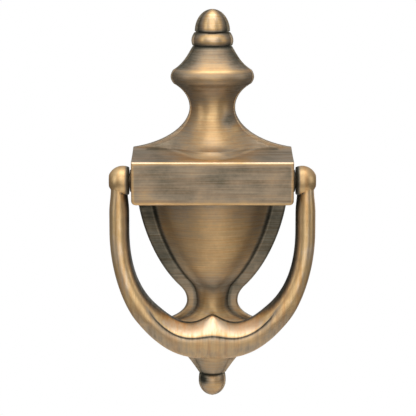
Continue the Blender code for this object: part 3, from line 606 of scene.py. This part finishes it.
def make_plate():
    """The plate with its pin bore, two blind stud holes and the seat of the strike button."""
    rings = [plate_ring(row) for row in reversed(lower_rows())]
    rings += [plate_ring(row, ground) for row, ground in block_rows()]
    rings += [plate_ring(row) for row in upper_rows()]
    plate = loft("urn_plate", rings)
    drill(plate, "X", -BLOCK_HALF_WIDTH - MM, BLOCK_HALF_WIDTH + MM, BORE_RADIUS, (0, HINGE_Y, 0))
    for height in STUD_HEIGHTS.values():
        drill(plate, "Y", -STUD_ENGAGEMENT - FIT_GAP, MM, STUD_HOLE_RADIUS, (0, 0, height))
    strike = (0, 0, STRIKE_Z)
    drill(plate, "Y", STRIKE_SEAT_Y - SEAT_CUT, STRIKE_SEAT_Y + FIT_GAP, STRIKE_RADIUS + FIT_GAP, strike)
    drill(plate, "Y", STRIKE_SEAT_Y, STRIKE_SEAT_Y + SHANK_LENGTH + FIT_GAP, SHANK_RADIUS + FIT_GAP, strike)
    for wear_and_painted_light in plate.data.attributes["wear_and_painted_light"].data:
        if wear_and_painted_light.value < LEAST_AGE / 2:
            wear_and_painted_light.value = BORE_AGE
    plate.data.set_sharp_from_angle(angle=SMOOTH_ANGLE)
    return plate


# --- the handle ---------------------------------------------------------------------------------------
def outer_path():
    """The handle's outer edge from the arm to the middle of the bar, as two cubics of (x, z) points."""
    arm = (ARM_OUTER_X, ARM_STRAIGHT_Z)
    corner = (ARM_OUTER_X - CORNER_IN, HANDLE_BOTTOM_Z + CORNER_UP)
    bottom = (0.0, HANDLE_BOTTOM_Z)
    straight = OUTER_STRAIGHT_SHARE * (corner[1] - arm[1])
    above = OUTER_CORNER_SHARE * CORNER_IN
    below = OUTER_CORNER_SHARE * corner[0]
    slope = CORNER_UP / below
    first = ((arm[0], arm[1] + straight), (corner[0] + above, corner[1] + above * slope))
    second = ((corner[0] - below, bottom[1]), (OUTER_BOTTOM_SHARE * corner[0], bottom[1]))
    return [(arm, *first, corner), (corner, *second, bottom)]


def inner_path():
    """The inner edge, as three cubics: arm to shoulder, shoulder to trough, trough to crest."""
    arm = (ARM_INNER_X, ARM_STRAIGHT_Z)
    shoulder = (ARM_INNER_X - SHOULDER_IN, HANDLE_BOTTOM_Z + SHOULDER_UP)
    trough = (TROUGH_X, HANDLE_BOTTOM_Z + TROUGH_UP)
    crest = (0.0, HANDLE_BOTTOM_Z + CREST_UP)
    straight = INNER_STRAIGHT_SHARE * (shoulder[1] - arm[1])
    lean = SHOULDER_SHARE * (shoulder[0] - trough[0])
    above = (shoulder[0] + SHOULDER_ABOVE[0] * lean, shoulder[1] + SHOULDER_ABOVE[1] * lean)
    below = (shoulder[0] - lean, shoulder[1] - SHOULDER_SLOPE * lean)
    first = ((arm[0], arm[1] + straight), above)
    second = (below, (trough[0] + lean, trough[1]))
    third = ((CREST_WAIST_SHARE * trough[0], trough[1]), (CREST_TOP_SHARE * trough[0], crest[1]))
    return [(arm, *first, shoulder), (shoulder, *second, trough), (trough, *third, crest)]


def along(path, share):
    """The point at a share of the way along a path, each of its cubics counting the same."""
    place = min(share * len(path), len(path) - 1e-9)
    index = int(place)
    return tuple(bezier(*(control[axis] for control in path[index]), place - index) for axis in (0, 1))


# Section points as (share from the inner to the outer edge, share of the depth, wear and painted light),
# round from the back: painted shade on the inner side and in the bar's crease, painted highlights on the
# bar's bevelled band and outer edge
ARM_SECTION = [(0.10, 0.0, 0.8), (0.48, 0.0, 0.8), (0.86, 0.0, 0.8), (0.97, 0.10, 0.7), (1.0, 0.36, 0.5),
               (0.985, 0.55, 0.35), (0.94, 0.72, 0.22), (0.85, 0.87, 0.14), (0.73, 0.955, 0.12),
               (0.62, 0.99, 0.12), (0.50, 1.0, 0.14), (0.39, 0.99, 0.18), (0.29, 0.96, 0.24),
               (0.20, 0.91, 0.35), (0.12, 0.83, 0.6), (0.06, 0.70, 0.9), (0.02, 0.52, 0.95),
               (0.0, 0.30, 0.95), (0.02, 0.08, 0.9)]
BAR_SECTION = [(0.10, 0.0, 0.8), (0.48, 0.0, 0.8), (0.86, 0.0, 0.7), (0.97, 0.10, 0.4), (1.0, 0.30, 0.12),
               (0.985, 0.50, 0.16), (0.935, 0.69, 0.4), (0.85, 0.84, 0.5), (0.74, 0.94, 0.5),
               (0.62, 0.99, 0.42), (0.52, 1.0, 0.44), (0.45, 0.97, 0.6), (0.405, 0.90, 1.0),
               (0.365, 0.875, 0.2), (0.26, 0.765, 0.02), (0.14, 0.63, 0.02), (0.02, 0.485, 0.03),
               (0.0, 0.40, 0.8), (0.02, 0.10, 0.9)]
CREASE_INDEX = 12             # the bar's sharp corner above its bevelled band
SECTION_STEPS = 4

ARM_AGE_TOP_Z = -9.0 * MM
BALL_NEARNESS = 0.04 * MM
CREASE_WIDTH = 0.45 * MM      # of the dark line of patina and painted shade where an arm meets its knuckle
FACE_FADE = (0.4 * MM, 2.4 * MM)            # out from a knuckle's face, where the painted shade beside the block starts and ends fading


def handle_section(outer, inner, back, depth, bar_share):
    """One ring of the bail between an outer and an inner point, smooth through the section's points."""
    origin = Vector((inner[0], 0, inner[1]))
    across = Vector((outer[0] - inner[0], 0, outer[1] - inner[1]))
    controls = []
    for arm, bar in zip(ARM_SECTION, BAR_SECTION):
        controls.append([mix(first, second, bar_share) for first, second in zip(arm, bar)])
    ring = []
    count = len(controls)
    for index in range(count):
        before, start, end, after = (controls[(index + shift) % count] for shift in (-1, 0, 1, 2))
        for step in range(SECTION_STEPS):
            share = step / SECTION_STEPS
            values = []
            for axis in range(3):
                leave = (end[axis] - before[axis]) / 6
                arrive = (after[axis] - start[axis]) / 6
                if index == CREASE_INDEX:
                    leave *= 1 - bar_share
                if index == CREASE_INDEX - 1:
                    arrive *= 1 - bar_share
                values.append(bezier(start[axis], start[axis] + leave, end[axis] - arrive, end[axis], share))
            place, height, wear_and_painted_light = values
            ring.append((origin + across * clamp(place) + Vector((0, back - depth * clamp(height), 0)),
                         clamp(wear_and_painted_light)))
    return ring


def bail_rings():
    """Rings from the top of the right arm, round the bar, to the top of the left arm."""
    outer = outer_path()
    inner = inner_path()
    half = []
    for step in range(ARM_STEPS):
        height = mix(-0.5 * KNUCKLE_RADIUS, ARM_STRAIGHT_Z, step / ARM_STEPS)
        narrow = ARM_NARROWING * (1 - smooth(0.5 * KNUCKLE_RADIUS, 2.2 * KNUCKLE_RADIUS, -height))
        half.append(((ARM_OUTER_X - narrow, height), (ARM_INNER_X + narrow, height), 0.0))
    for step in range(BEND_STEPS + 1):
        share = step / BEND_STEPS
        half.append((along(outer, share), along(inner, share), share))
    right = []
    for outside, inside, share in half:
        ease = smooth(0, 1, share)
        back = mix(ARM_BACK_Y, BAR_BACK_Y, ease)
        depth = mix(ARM_DEPTH, BAR_DEPTH, ease)
        right.append(handle_section(outside, inside, back, depth, smooth(*BAR_SHARES, share)))
    left = [[(Vector((-point.x, point.y, point.z)), wear_and_painted_light) for point, wear_and_painted_light in ring]
            for ring in reversed(right[:-1])]
    return right + left


def turned_rings(stations, axis, centre, sides=ROUND_SIDES):
    """Rings of (point, wear and painted light) about an axis through centre, from (place, radius, wear and
    painted light) stations.
    """
    rings = []
    for place, radius, wear_and_painted_light in stations:
        ring = []
        for step in range(sides):
            angle = 2 * math.pi * (step + 0.5) / sides
            first = radius * math.cos(angle)
            second = radius * math.sin(angle)
            point = (place, first, second) if axis == "X" else (first, place, second)
            ring.append((Vector(point) + Vector(centre), wear_and_painted_light))
        rings.append(ring)
    return rings


def knuckle(side):
    """A ball with a flat face towards the block."""
    start = math.acos((KNUCKLE_X - KNUCKLE_FACE_X) / KNUCKLE_RADIUS)
    stations = []
    for step in range(KNUCKLE_STEPS):
        angle = mix(start, math.pi, (step + 0.3) / KNUCKLE_STEPS)
        stations.append((side * (KNUCKLE_X - KNUCKLE_RADIUS * math.cos(angle)),
                         KNUCKLE_RADIUS * math.sin(angle), BALL_AGES[0]))
    return loft("knuckle_tool", turned_rings(stations, "X", (0, HINGE_Y, 0)))


def handle_wear_and_light(point, wear_and_painted_light):
    """The sweep's own wear and painted light lower down; near the knuckles it is worked out from the place
    instead, with painted shade by the face towards the block and tarnish and painted shade in the crease
    where an arm meets its knuckle.
    """
    if point.z < ARM_AGE_TOP_Z:
        return wear_and_painted_light
    centre = Vector((math.copysign(KNUCKLE_X, point.x), HINGE_Y, 0))
    off_ball = abs((point - centre).length - KNUCKLE_RADIUS)
    on_ball = off_ball < BALL_NEARNESS
    if on_ball:
        wear_and_painted_light = mix(*BALL_AGES, smooth(-1, 1, (point.y - HINGE_Y) / KNUCKLE_RADIUS))
    if math.hypot(point.y - HINGE_Y, point.z) < BORE_RADIUS + BALL_NEARNESS:
        wear_and_painted_light = BORE_AGE
    # Painted shade on and near a knuckle's flat face beside the block.
    facing = 1 - smooth(KNUCKLE_FACE_X + FACE_FADE[0], KNUCKLE_FACE_X + FACE_FADE[1], abs(point.x))
    # Patina and painted shade in the crease where an arm meets its knuckle.
    crease = math.exp(-(off_ball / CREASE_WIDTH) ** 2) * smooth(3.2 * MM, 4.4 * MM, -point.z)
    if on_ball:
        crease *= 0.8 * smooth(4.2 * MM, 5.0 * MM, -point.z)
    return clamp(max(wear_and_painted_light, facing, crease))


def make_handle():
    handle = loft("bail_handle", bail_rings())
    for side in (-1, 1):
        combine(handle, knuckle(side), "UNION")
    for side in (-1, 1):
        near, far = sorted(side * x for x in KNUCKLE_CUT_X)
        drill(handle, "X", near, far, BORE_RADIUS, (0, HINGE_Y, 0))
    wear_and_light_values = handle.data.attributes["wear_and_painted_light"].data
    for vertex in handle.data.vertices:
        wear_and_light_values[vertex.index].value = handle_wear_and_light(vertex.co, wear_and_light_values[vertex.index].value)
    handle.data.set_sharp_from_angle(angle=SMOOTH_ANGLE)
    return handle


# --- small turned pieces --------------------------------------------------------------------------------
def rounded_rod(start, end, radius, edge, wear_and_painted_light):
    """(place, radius, wear and painted light) stations of a rod along an axis with quarter-round ends."""
    stations = []
    for step in range(EDGE_STEPS + 1):
        angle = math.pi / 2 * step / EDGE_STEPS
        stations.append((start + edge * (1 - math.cos(angle)), radius - edge * (1 - math.sin(angle)), wear_and_painted_light))
    stations += [(start + end - place, wide, wear_and_light) for place, wide, wear_and_light in reversed(stations)]
    return stations


def make_pin():
    end = KNUCKLE_X + math.sqrt(KNUCKLE_RADIUS**2 - BORE_RADIUS**2)
    stations = rounded_rod(-end, end, PIN_RADIUS, PIN_EDGE, 0.4)
    return loft("hinge_pin_turned", turned_rings(stations, "X", (0, HINGE_Y, 0), BORE_SIDES))


def washer(name, start, thickness, outer, inner, edge, axis, centre, wear_and_painted_light):
    """A flat ring with rounded edges."""
    outline = []
    corners = ((start + edge, outer - edge, 180), (start + thickness - edge, outer - edge, 90),
               (start + thickness - edge, inner + edge, 0), (start + edge, inner + edge, -90))
    for place, radius, first in corners:
        for step in range(5):
            angle = math.radians(first - 90 * step / 4)
            outline.append((place + edge * math.cos(angle), radius + edge * math.sin(angle), wear_and_painted_light))
    return loft(name, turned_rings(outline, axis, centre, WASHER_SIDES), closed=True)


def make_spacer(side_name, side):
    start = min(side * SPACER_NEAR_X, side * (SPACER_NEAR_X + SPACER_THICKNESS))
    return washer(f"spacer_ring_{side_name}", start, SPACER_THICKNESS, SPACER_RADIUS, BORE_RADIUS,
                  SPACER_EDGE, "X", (0, HINGE_Y, 0), 0.85)


def make_strike_button():
    """A button with a rounded edge, a slightly crowned face and a shank behind."""
    shank_end = STRIKE_SEAT_Y + SHANK_LENGTH
    stations = [(shank_end, SHANK_RADIUS - SHANK_CHAMFER, 0.5),
                (shank_end - SHANK_CHAMFER, SHANK_RADIUS, 0.5), (STRIKE_SEAT_Y, SHANK_RADIUS, 0.5),
                (STRIKE_SEAT_Y, STRIKE_RADIUS - STRIKE_BACK_EDGE, 0.5),
                (STRIKE_SEAT_Y - STRIKE_BACK_EDGE, STRIKE_RADIUS, 0.4)]
    for step in range(7):
        angle = math.pi / 2 * step / 6
        stations.append((STRIKE_FACE_Y + STRIKE_CROWN + STRIKE_EDGE * (1 - math.sin(angle)),
                         STRIKE_RADIUS - STRIKE_EDGE * (1 - math.cos(angle)), 0.2))
    flat = STRIKE_RADIUS - STRIKE_EDGE
    for step in range(1, 12):
        radius = flat * (1 - step / 12)
        stations.append((STRIKE_FACE_Y + STRIKE_CROWN * (radius / flat) ** 2, radius, 0.08))
    return loft("strike_button_turned", turned_rings(stations, "Y", (0, 0, STRIKE_Z)))


def make_stud(place, height):
    """A threaded rod: each ring's radius follows a rounded helical groove."""
    start = -STUD_ENGAGEMENT
    count = int((STUD_END_Y - start) / THREAD_PITCH * STUD_STEPS_PER_TURN)
    rings = []
    for step in range(count + 1):
        y = mix(start, STUD_END_Y, step / count)
        from_end = min(y - start, STUD_END_Y - y)
        chamfer = mix(0.75, 1.0, clamp((from_end + 0.2 * MM) / (0.6 * MM)))
        ring = []
        for side in range(STUD_SIDES):
            turn = side / STUD_SIDES
            flank = abs(2 * ((y / THREAD_PITCH + turn) % 1) - 1)
            radius = (STUD_RADIUS - THREAD_DEPTH * smooth(0.1, 0.9, flank)) * chamfer
            angle = 2 * math.pi * turn
            ring.append((Vector((radius * math.cos(angle), y, height + radius * math.sin(angle))),
                         mix(0.1, 0.75, flank)))
        rings.append(ring)
    return loft(f"threaded_stud_{place}", rings)


def make_washer(place, height):
    return washer(f"flat_washer_{place}", DOOR_Y, WASHER_THICKNESS, WASHER_RADIUS, STUD_HOLE_RADIUS,
                  WASHER_EDGE, "Y", (0, 0, height), 0.3)


def make_cap_nut(place, height):
    """A chamfered hexagon with a washer face and a polished dome."""
    top = NUT_SEAT_Y + NUT_HEX_HEIGHT
    corner = NUT_ACROSS_FLATS / math.sqrt(3)
    stations = [(NUT_SEAT_Y, NUT_FACE_RADIUS, 0.4),
                (NUT_SEAT_Y + NUT_FACE_HEIGHT, NUT_FACE_RADIUS + NUT_FACE_STEP, 0.4)]
    for step in range(11):
        share = step / 10
        y = mix(NUT_SEAT_Y + NUT_FACE_STEP, top, share)
        limit = min(corner, NUT_CHAMFER_RADIUS + NUT_CHAMFER_SLOPE * min(y - NUT_SEAT_Y, top - y))
        stations.append((y, limit, 0.25))
    stations.append((top, NUT_DOME_RADIUS + NUT_FACE_HEIGHT, 0.6))
    for step in range(15):
        angle = NUT_DOME_TURN * step / 14
        stations.append((top + 0.05 * MM + (NUT_DOME_RADIUS - 0.15 * MM) * math.sin(angle),
                         NUT_DOME_RADIUS * math.cos(angle), mix(0.5, 0.05, clamp(step / 4))))
    rings = []
    for y, limit, wear_and_painted_light in stations:
        ring = []
        for side in range(NUT_SIDES):
            angle = 2 * math.pi * side / NUT_SIDES
            flat = (angle + math.pi / 6) % (math.pi / 3) - math.pi / 6
            radius = min(limit, NUT_ACROSS_FLATS / 2 / math.cos(math.pi / 6 - abs(flat)))
            ring.append((Vector((radius * math.cos(angle), y, height + radius * math.sin(angle))), wear_and_painted_light))
        rings.append(ring)
    return loft(f"domed_cap_nut_{place}", rings)


# --- materials ----------------------------------------------------------------------------------------
class Tree:
    """A thin wrapper that adds and joins shader nodes."""

    def __init__(self, name):
        self.material = bpy.data.materials.new(name)
        self.material.use_nodes = True
        self.nodes = self.material.node_tree.nodes
        self.links = self.material.node_tree.links
        self.shader = self.nodes["Principled BSDF"]

    def add(self, kind, settings=(), **inputs):
        node = self.nodes.new(kind)
        for name, value in dict(settings).items():
            setattr(node, name, value)
        for name, value in inputs.items():
            socket = node.inputs[name.replace("_", " ")]
            if isinstance(value, bpy.types.NodeSocket):
                self.links.new(value, socket)
            else:
                socket.default_value = value
        return node

    def math(self, operation, first, second=0.0, clamped=False):
        node = self.nodes.new("ShaderNodeMath")
        node.operation = operation
        node.use_clamp = clamped
        for index, value in enumerate((first, second)):
            if isinstance(value, bpy.types.NodeSocket):
                self.links.new(value, node.inputs[index])
            else:
                node.inputs[index].default_value = value
        return node.outputs[0]

    def swing(self, value, amount):
        """How far a 0 to 1 value is from its middle, times amount."""
        return self.math("MULTIPLY", self.math("SUBTRACT", value, 0.5), amount)

    def noise(self, scale, stretch, detail=4.0, roughness=0.55):
        """Noise over the object's own coordinates; stretch is a scale for each axis."""
        where = self.nodes.new("ShaderNodeTexCoord").outputs["Object"]
        mapping = self.add("ShaderNodeMapping", Vector=where, Scale=stretch)
        node = self.add("ShaderNodeTexNoise", Vector=mapping.outputs[0], Scale=scale, Detail=detail,
                        Roughness=roughness)
        return node.outputs[0]

    def ramp(self, factor, stops):
        node = self.nodes.new("ShaderNodeValToRGB")
        self.links.new(factor, node.inputs[0])
        elements = node.color_ramp.elements
        while len(elements) < len(stops):
            elements.new(0.5)
        for element, (place, colour) in zip(elements, stops):
            element.position = place
            element.color = (*colour, 1.0)
        return node.outputs[0]


# How strongly each pattern moves the wear and painted light value, and the coppery tint in patches along the
# brush marks
CLOUD_SWING = 0.62
LINE_SWING = 0.42
SPECKLE_SWING = 0.12
COPPER_TINT = (1.0, 0.80, 0.62, 1.0)
COPPER_SHARE = 0.55
GLOSS_LINE_SWING = 0.28       # brush marks and the wear and painted light value on the roughness
GLOSS_PER_WEAR_AND_LIGHT = 0.20
RELIEF_DEPTH = 0.12 * MM
CALM_SHARE = 0.12             # of the brush marks that stay where they fade


def worn_metal_with_painted_light(name, tones, roughness, brush, mottle=1.0, bump=1.0, calm=None):
    """Relieved antique metal: tones run from rubbed bright and painted highlight to darkest tarnish and
    painted shade, following the mesh's wear and painted light attribute. Brush is the stretch of the brush
    marks over X, Y and Z. Between the two heights of calm the marks fade out."""
    tree = Tree(name)
    wear_and_painted_light = tree.add("ShaderNodeAttribute", {"attribute_name": "wear_and_painted_light"}).outputs["Fac"]
    cloud = tree.noise(75.0, (1.0, 1.0, 1.4), 5.0, 0.6)
    speckle = tree.noise(900.0, (1.0, 1.0, 1.0), 3.0, 0.6)
    lines = tree.noise(1.0, brush, 5.0, 0.65)
    if calm:
        where = tree.nodes.new("ShaderNodeTexCoord").outputs["Object"]
        height = tree.add("ShaderNodeSeparateXYZ", Vector=where).outputs["Z"]
        fade = tree.add("ShaderNodeMapRange", Value=height, From_Min=calm[0], From_Max=calm[1], To_Min=1.0,
                        To_Max=CALM_SHARE).outputs[0]
        lines = tree.math("ADD", tree.swing(lines, fade), 0.5)
    shift = tree.math("ADD", tree.swing(cloud, CLOUD_SWING * mottle), tree.swing(lines, LINE_SWING))
    shift = tree.math("ADD", shift, tree.swing(speckle, SPECKLE_SWING * mottle))
    # The mesh's wear, patina and painted highlights and shade, moved by the random patterns.
    tarnish_and_painted_light = tree.math("ADD", wear_and_painted_light, shift, clamped=True)
    blush = tree.noise(1.0, [0.5 * scale for scale in brush], 4.0, 0.6)
    amount = tree.add("ShaderNodeMapRange", Value=blush, From_Min=0.46, From_Max=0.62, To_Min=0.0,
                      To_Max=COPPER_SHARE * mottle).outputs[0]
    tinted = tree.add("ShaderNodeMix", {"data_type": "RGBA", "blend_type": "MULTIPLY"})
    tree.links.new(amount, tinted.inputs["Factor"])
    tree.links.new(tree.ramp(tarnish_and_painted_light, tones), tinted.inputs["A"])
    tinted.inputs["B"].default_value = COPPER_TINT
    tree.links.new(tinted.outputs["Result"], tree.shader.inputs["Base Color"])
    tree.shader.inputs["Metallic"].default_value = 1.0
    wear_and_light = tree.math("MULTIPLY", tarnish_and_painted_light, GLOSS_PER_WEAR_AND_LIGHT)
    gloss = tree.math("ADD", tree.swing(lines, GLOSS_LINE_SWING), wear_and_light)
    gloss = tree.math("ADD", gloss, roughness, clamped=True)
    tree.links.new(gloss, tree.shader.inputs["Roughness"])
    relief = tree.math("ADD", tree.math("MULTIPLY", lines, 0.85), tree.math("MULTIPLY", speckle, 0.15))
    bumps = tree.add("ShaderNodeBump", Height=relief, Strength=0.35 * bump, Distance=RELIEF_DEPTH)
    tree.links.new(bumps.outputs[0], tree.shader.inputs["Normal"])
    return tree.material


# (wear and painted light, colour), bright to dark; for the brass 0 is rubbed metal and painted highlight and
# 1 patina and painted shade; then the stretch of each kind of brush mark
BRASS_TONES = [(0.0, (0.92, 0.72, 0.51)), (0.16, (0.84, 0.59, 0.30)), (0.34, (0.63, 0.43, 0.225)),
               (0.56, (0.42, 0.335, 0.24)), (0.78, (0.20, 0.18, 0.135)), (1.0, (0.06, 0.06, 0.048))]
DARK_TONES = [(0.0, (0.48, 0.38, 0.26)), (0.5, (0.20, 0.165, 0.12)), (1.0, (0.05, 0.047, 0.038))]
BRIGHT_TONES = [(0.0, (0.90, 0.68, 0.36)), (0.5, (0.70, 0.50, 0.24)), (1.0, (0.26, 0.19, 0.10))]
ZINC_TONES = [(0.0, (0.80, 0.81, 0.83)), (0.5, (0.62, 0.63, 0.65)), (1.0, (0.26, 0.27, 0.29))]

LEVEL_BRUSH = (45.0, 260.0, 3900.0)       # long marks along X
UPRIGHT_BRUSH = (1100.0, 260.0, 80.0)     # long marks along Z
TURNED_BRUSH = (260.0, 260.0, 260.0)


# --- light, floor and camera ----------------------------------------------------------------------------
FLOOR_RADIUS = 0.17
FLOOR_CENTRE = (0, -0.04, -0.145)
FLOOR_TONES = [(0.0, (0.80, 0.80, 0.79)), (1.0, (0.86, 0.86, 0.85))]
CAMERA_PLACE = (-0.0017, -0.642, 0.0888)
CAMERA_TARGET = (-0.0017, 0.0, -0.0129)
LENS = 142.1
SENSOR = 36.0
WARM = (1.0, 0.97, 0.93)
WHITE = (1.0, 1.0, 1.0)
# name, place, target, width, height, brightness and colour of each softbox
LIGHTS = [
    ("top_box", (0.0, -0.25, 0.70), (0, -0.01, 0), 0.90, 0.55, 1.3, WARM),
    ("front_box", (-0.05, -0.85, 0.36), (0, 0, 0), 0.95, 0.50, 1.15, WARM),
    ("fill_box", (0.06, -1.10, -0.16), (0, 0, 0), 0.80, 0.50, 0.95, WARM),
    ("left_box", (-0.75, -0.35, 0.15), (0, 0, 0), 0.30, 0.60, 1.1, WHITE),
    ("right_box", (0.80, -0.25, 0.15), (0, 0, 0), 0.30, 0.60, 1.0, WHITE),
    ("back_box", (0.25, 0.80, 0.0), (0, 0, 0), 0.60, 0.40, 0.8, WHITE),
]


def aim(item, target):
    item.rotation_euler = (Vector(target) - item.location).to_track_quat("-Z", "Y").to_euler()


def softbox(name, place, target, width, height, brightness, colour):
    """A rectangular area light of an even brightness."""
    light = bpy.data.lights.new(name, "AREA")
    light.shape = "RECTANGLE"
    light.size = width
    light.size_y = height
    light.energy = brightness * math.pi * width * height
    light.color = colour
    item = bpy.data.objects.new(name, light)
    bpy.context.scene.collection.objects.link(item)
    item.location = place
    aim(item, target)
    item.visible_camera = False


def make_world():
    """White behind the object for the camera; for reflections a dim room that is lighter overhead."""
    world = bpy.data.worlds.new("studio")
    world.use_nodes = True
    bpy.context.scene.world = world
    nodes = world.node_tree.nodes
    links = world.node_tree.links
    nodes.clear()
    where = nodes.new("ShaderNodeTexCoord")
    split = nodes.new("ShaderNodeSeparateXYZ")
    links.new(where.outputs["Generated"], split.inputs[0])
    ramp = nodes.new("ShaderNodeValToRGB")
    turn = nodes.new("ShaderNodeMapRange")
    turn.inputs["From Min"].default_value = -1.0
    links.new(split.outputs["Z"], turn.inputs["Value"])
    links.new(turn.outputs[0], ramp.inputs[0])
    elements = ramp.color_ramp.elements
    elements[0].position = 0.0
    elements[0].color = (0.16, 0.15, 0.14, 1)
    elements[1].position = 1.0
    elements[1].color = (0.80, 0.80, 0.80, 1)
    middle = elements.new(0.5)
    middle.color = (0.17, 0.17, 0.17, 1)
    room = nodes.new("ShaderNodeBackground")
    links.new(ramp.outputs[0], room.inputs[0])
    backdrop = nodes.new("ShaderNodeBackground")
    backdrop.inputs[0].default_value = (1, 1, 1, 1)
    path = nodes.new("ShaderNodeLightPath")
    choose = nodes.new("ShaderNodeMixShader")
    links.new(path.outputs["Is Camera Ray"], choose.inputs[0])
    links.new(room.outputs[0], choose.inputs[1])
    links.new(backdrop.outputs[0], choose.inputs[2])
    output = nodes.new("ShaderNodeOutputWorld")
    links.new(choose.outputs[0], output.inputs[0])


def make_floor():
    """A round pale floor some way below the knocker."""
    shape = bmesh.new()
    bmesh.ops.create_circle(shape, cap_ends=True, radius=FLOOR_RADIUS, segments=128)
    bmesh.ops.translate(shape, verts=shape.verts, vec=FLOOR_CENTRE)
    mesh = bpy.data.meshes.new("floor")
    shape.to_mesh(mesh)
    shape.free()
    item = bpy.data.objects.new("floor", mesh)
    bpy.context.scene.collection.objects.link(item)
    tree = Tree("pale_floor")
    cloud = tree.noise(40.0, (1.0, 1.0, 1.0))
    tree.links.new(tree.ramp(cloud, FLOOR_TONES), tree.shader.inputs["Base Color"])
    tree.shader.inputs["Roughness"].default_value = 0.7
    mesh.materials.append(tree.material)


def make_camera():
    camera = bpy.data.cameras.new("camera")
    camera.lens = LENS
    camera.sensor_width = SENSOR
    camera.clip_start = 0.01
    item = bpy.data.objects.new("camera", camera)
    bpy.context.scene.collection.objects.link(item)
    item.location = CAMERA_PLACE
    aim(item, CAMERA_TARGET)
    bpy.context.scene.camera = item


# --- assembly -----------------------------------------------------------------------------------------
def fit(item, node, body, finish):
    """Puts a piece in place of its CAD node."""
    item.data.materials.clear()
    item.data.materials.append(finish)
    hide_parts(node)
    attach(item, body)


def main():
    plate_brass = worn_metal_with_painted_light("relieved_antique_brass_plate_with_painted_light", BRASS_TONES, 0.36, LEVEL_BRUSH)
    handle_brass = worn_metal_with_painted_light("relieved_antique_brass_handle_with_painted_light", BRASS_TONES, 0.36, UPRIGHT_BRUSH, bump=0.6,
                              calm=(-16 * MM, -7 * MM))
    dark_brass = worn_metal_with_painted_light("dark_antique_brass", DARK_TONES, 0.34, TURNED_BRUSH, 0.8)
    bright_brass = worn_metal_with_painted_light("bright_brass", BRIGHT_TONES, 0.18, TURNED_BRUSH, 0.4, 0.5)
    zinc = worn_metal_with_painted_light("zinc_plated_steel", ZINC_TONES, 0.26, TURNED_BRUSH, 0.5, 0.6)
    fit(make_plate(), "back_plate", "plate", plate_brass)
    fit(make_handle(), "knocker_handle", "handle", handle_brass)
    fit(make_pin(), "hinge_pin", "handle", dark_brass)
    for side_name, side in (("left", -1), ("right", 1)):
        spacer = make_spacer(side_name, side)
        fit(spacer, f"spacer_washer_{side_name}", "plate", dark_brass)
    fit(make_strike_button(), "strike_button", "plate", bright_brass)
    for place, height in STUD_HEIGHTS.items():
        fit(make_stud(place, height), f"mounting_stud_{place}", "plate", zinc)
        fit(make_washer(place, height), f"washer_{place}", "plate", zinc)
        fit(make_cap_nut(place, height), f"cap_nut_{place}", "plate", bright_brass)
    make_world()
    make_floor()
    for light in LIGHTS:
        softbox(*light)
    make_camera()
    bpy.context.scene.view_settings.view_transform = "Standard"


main()
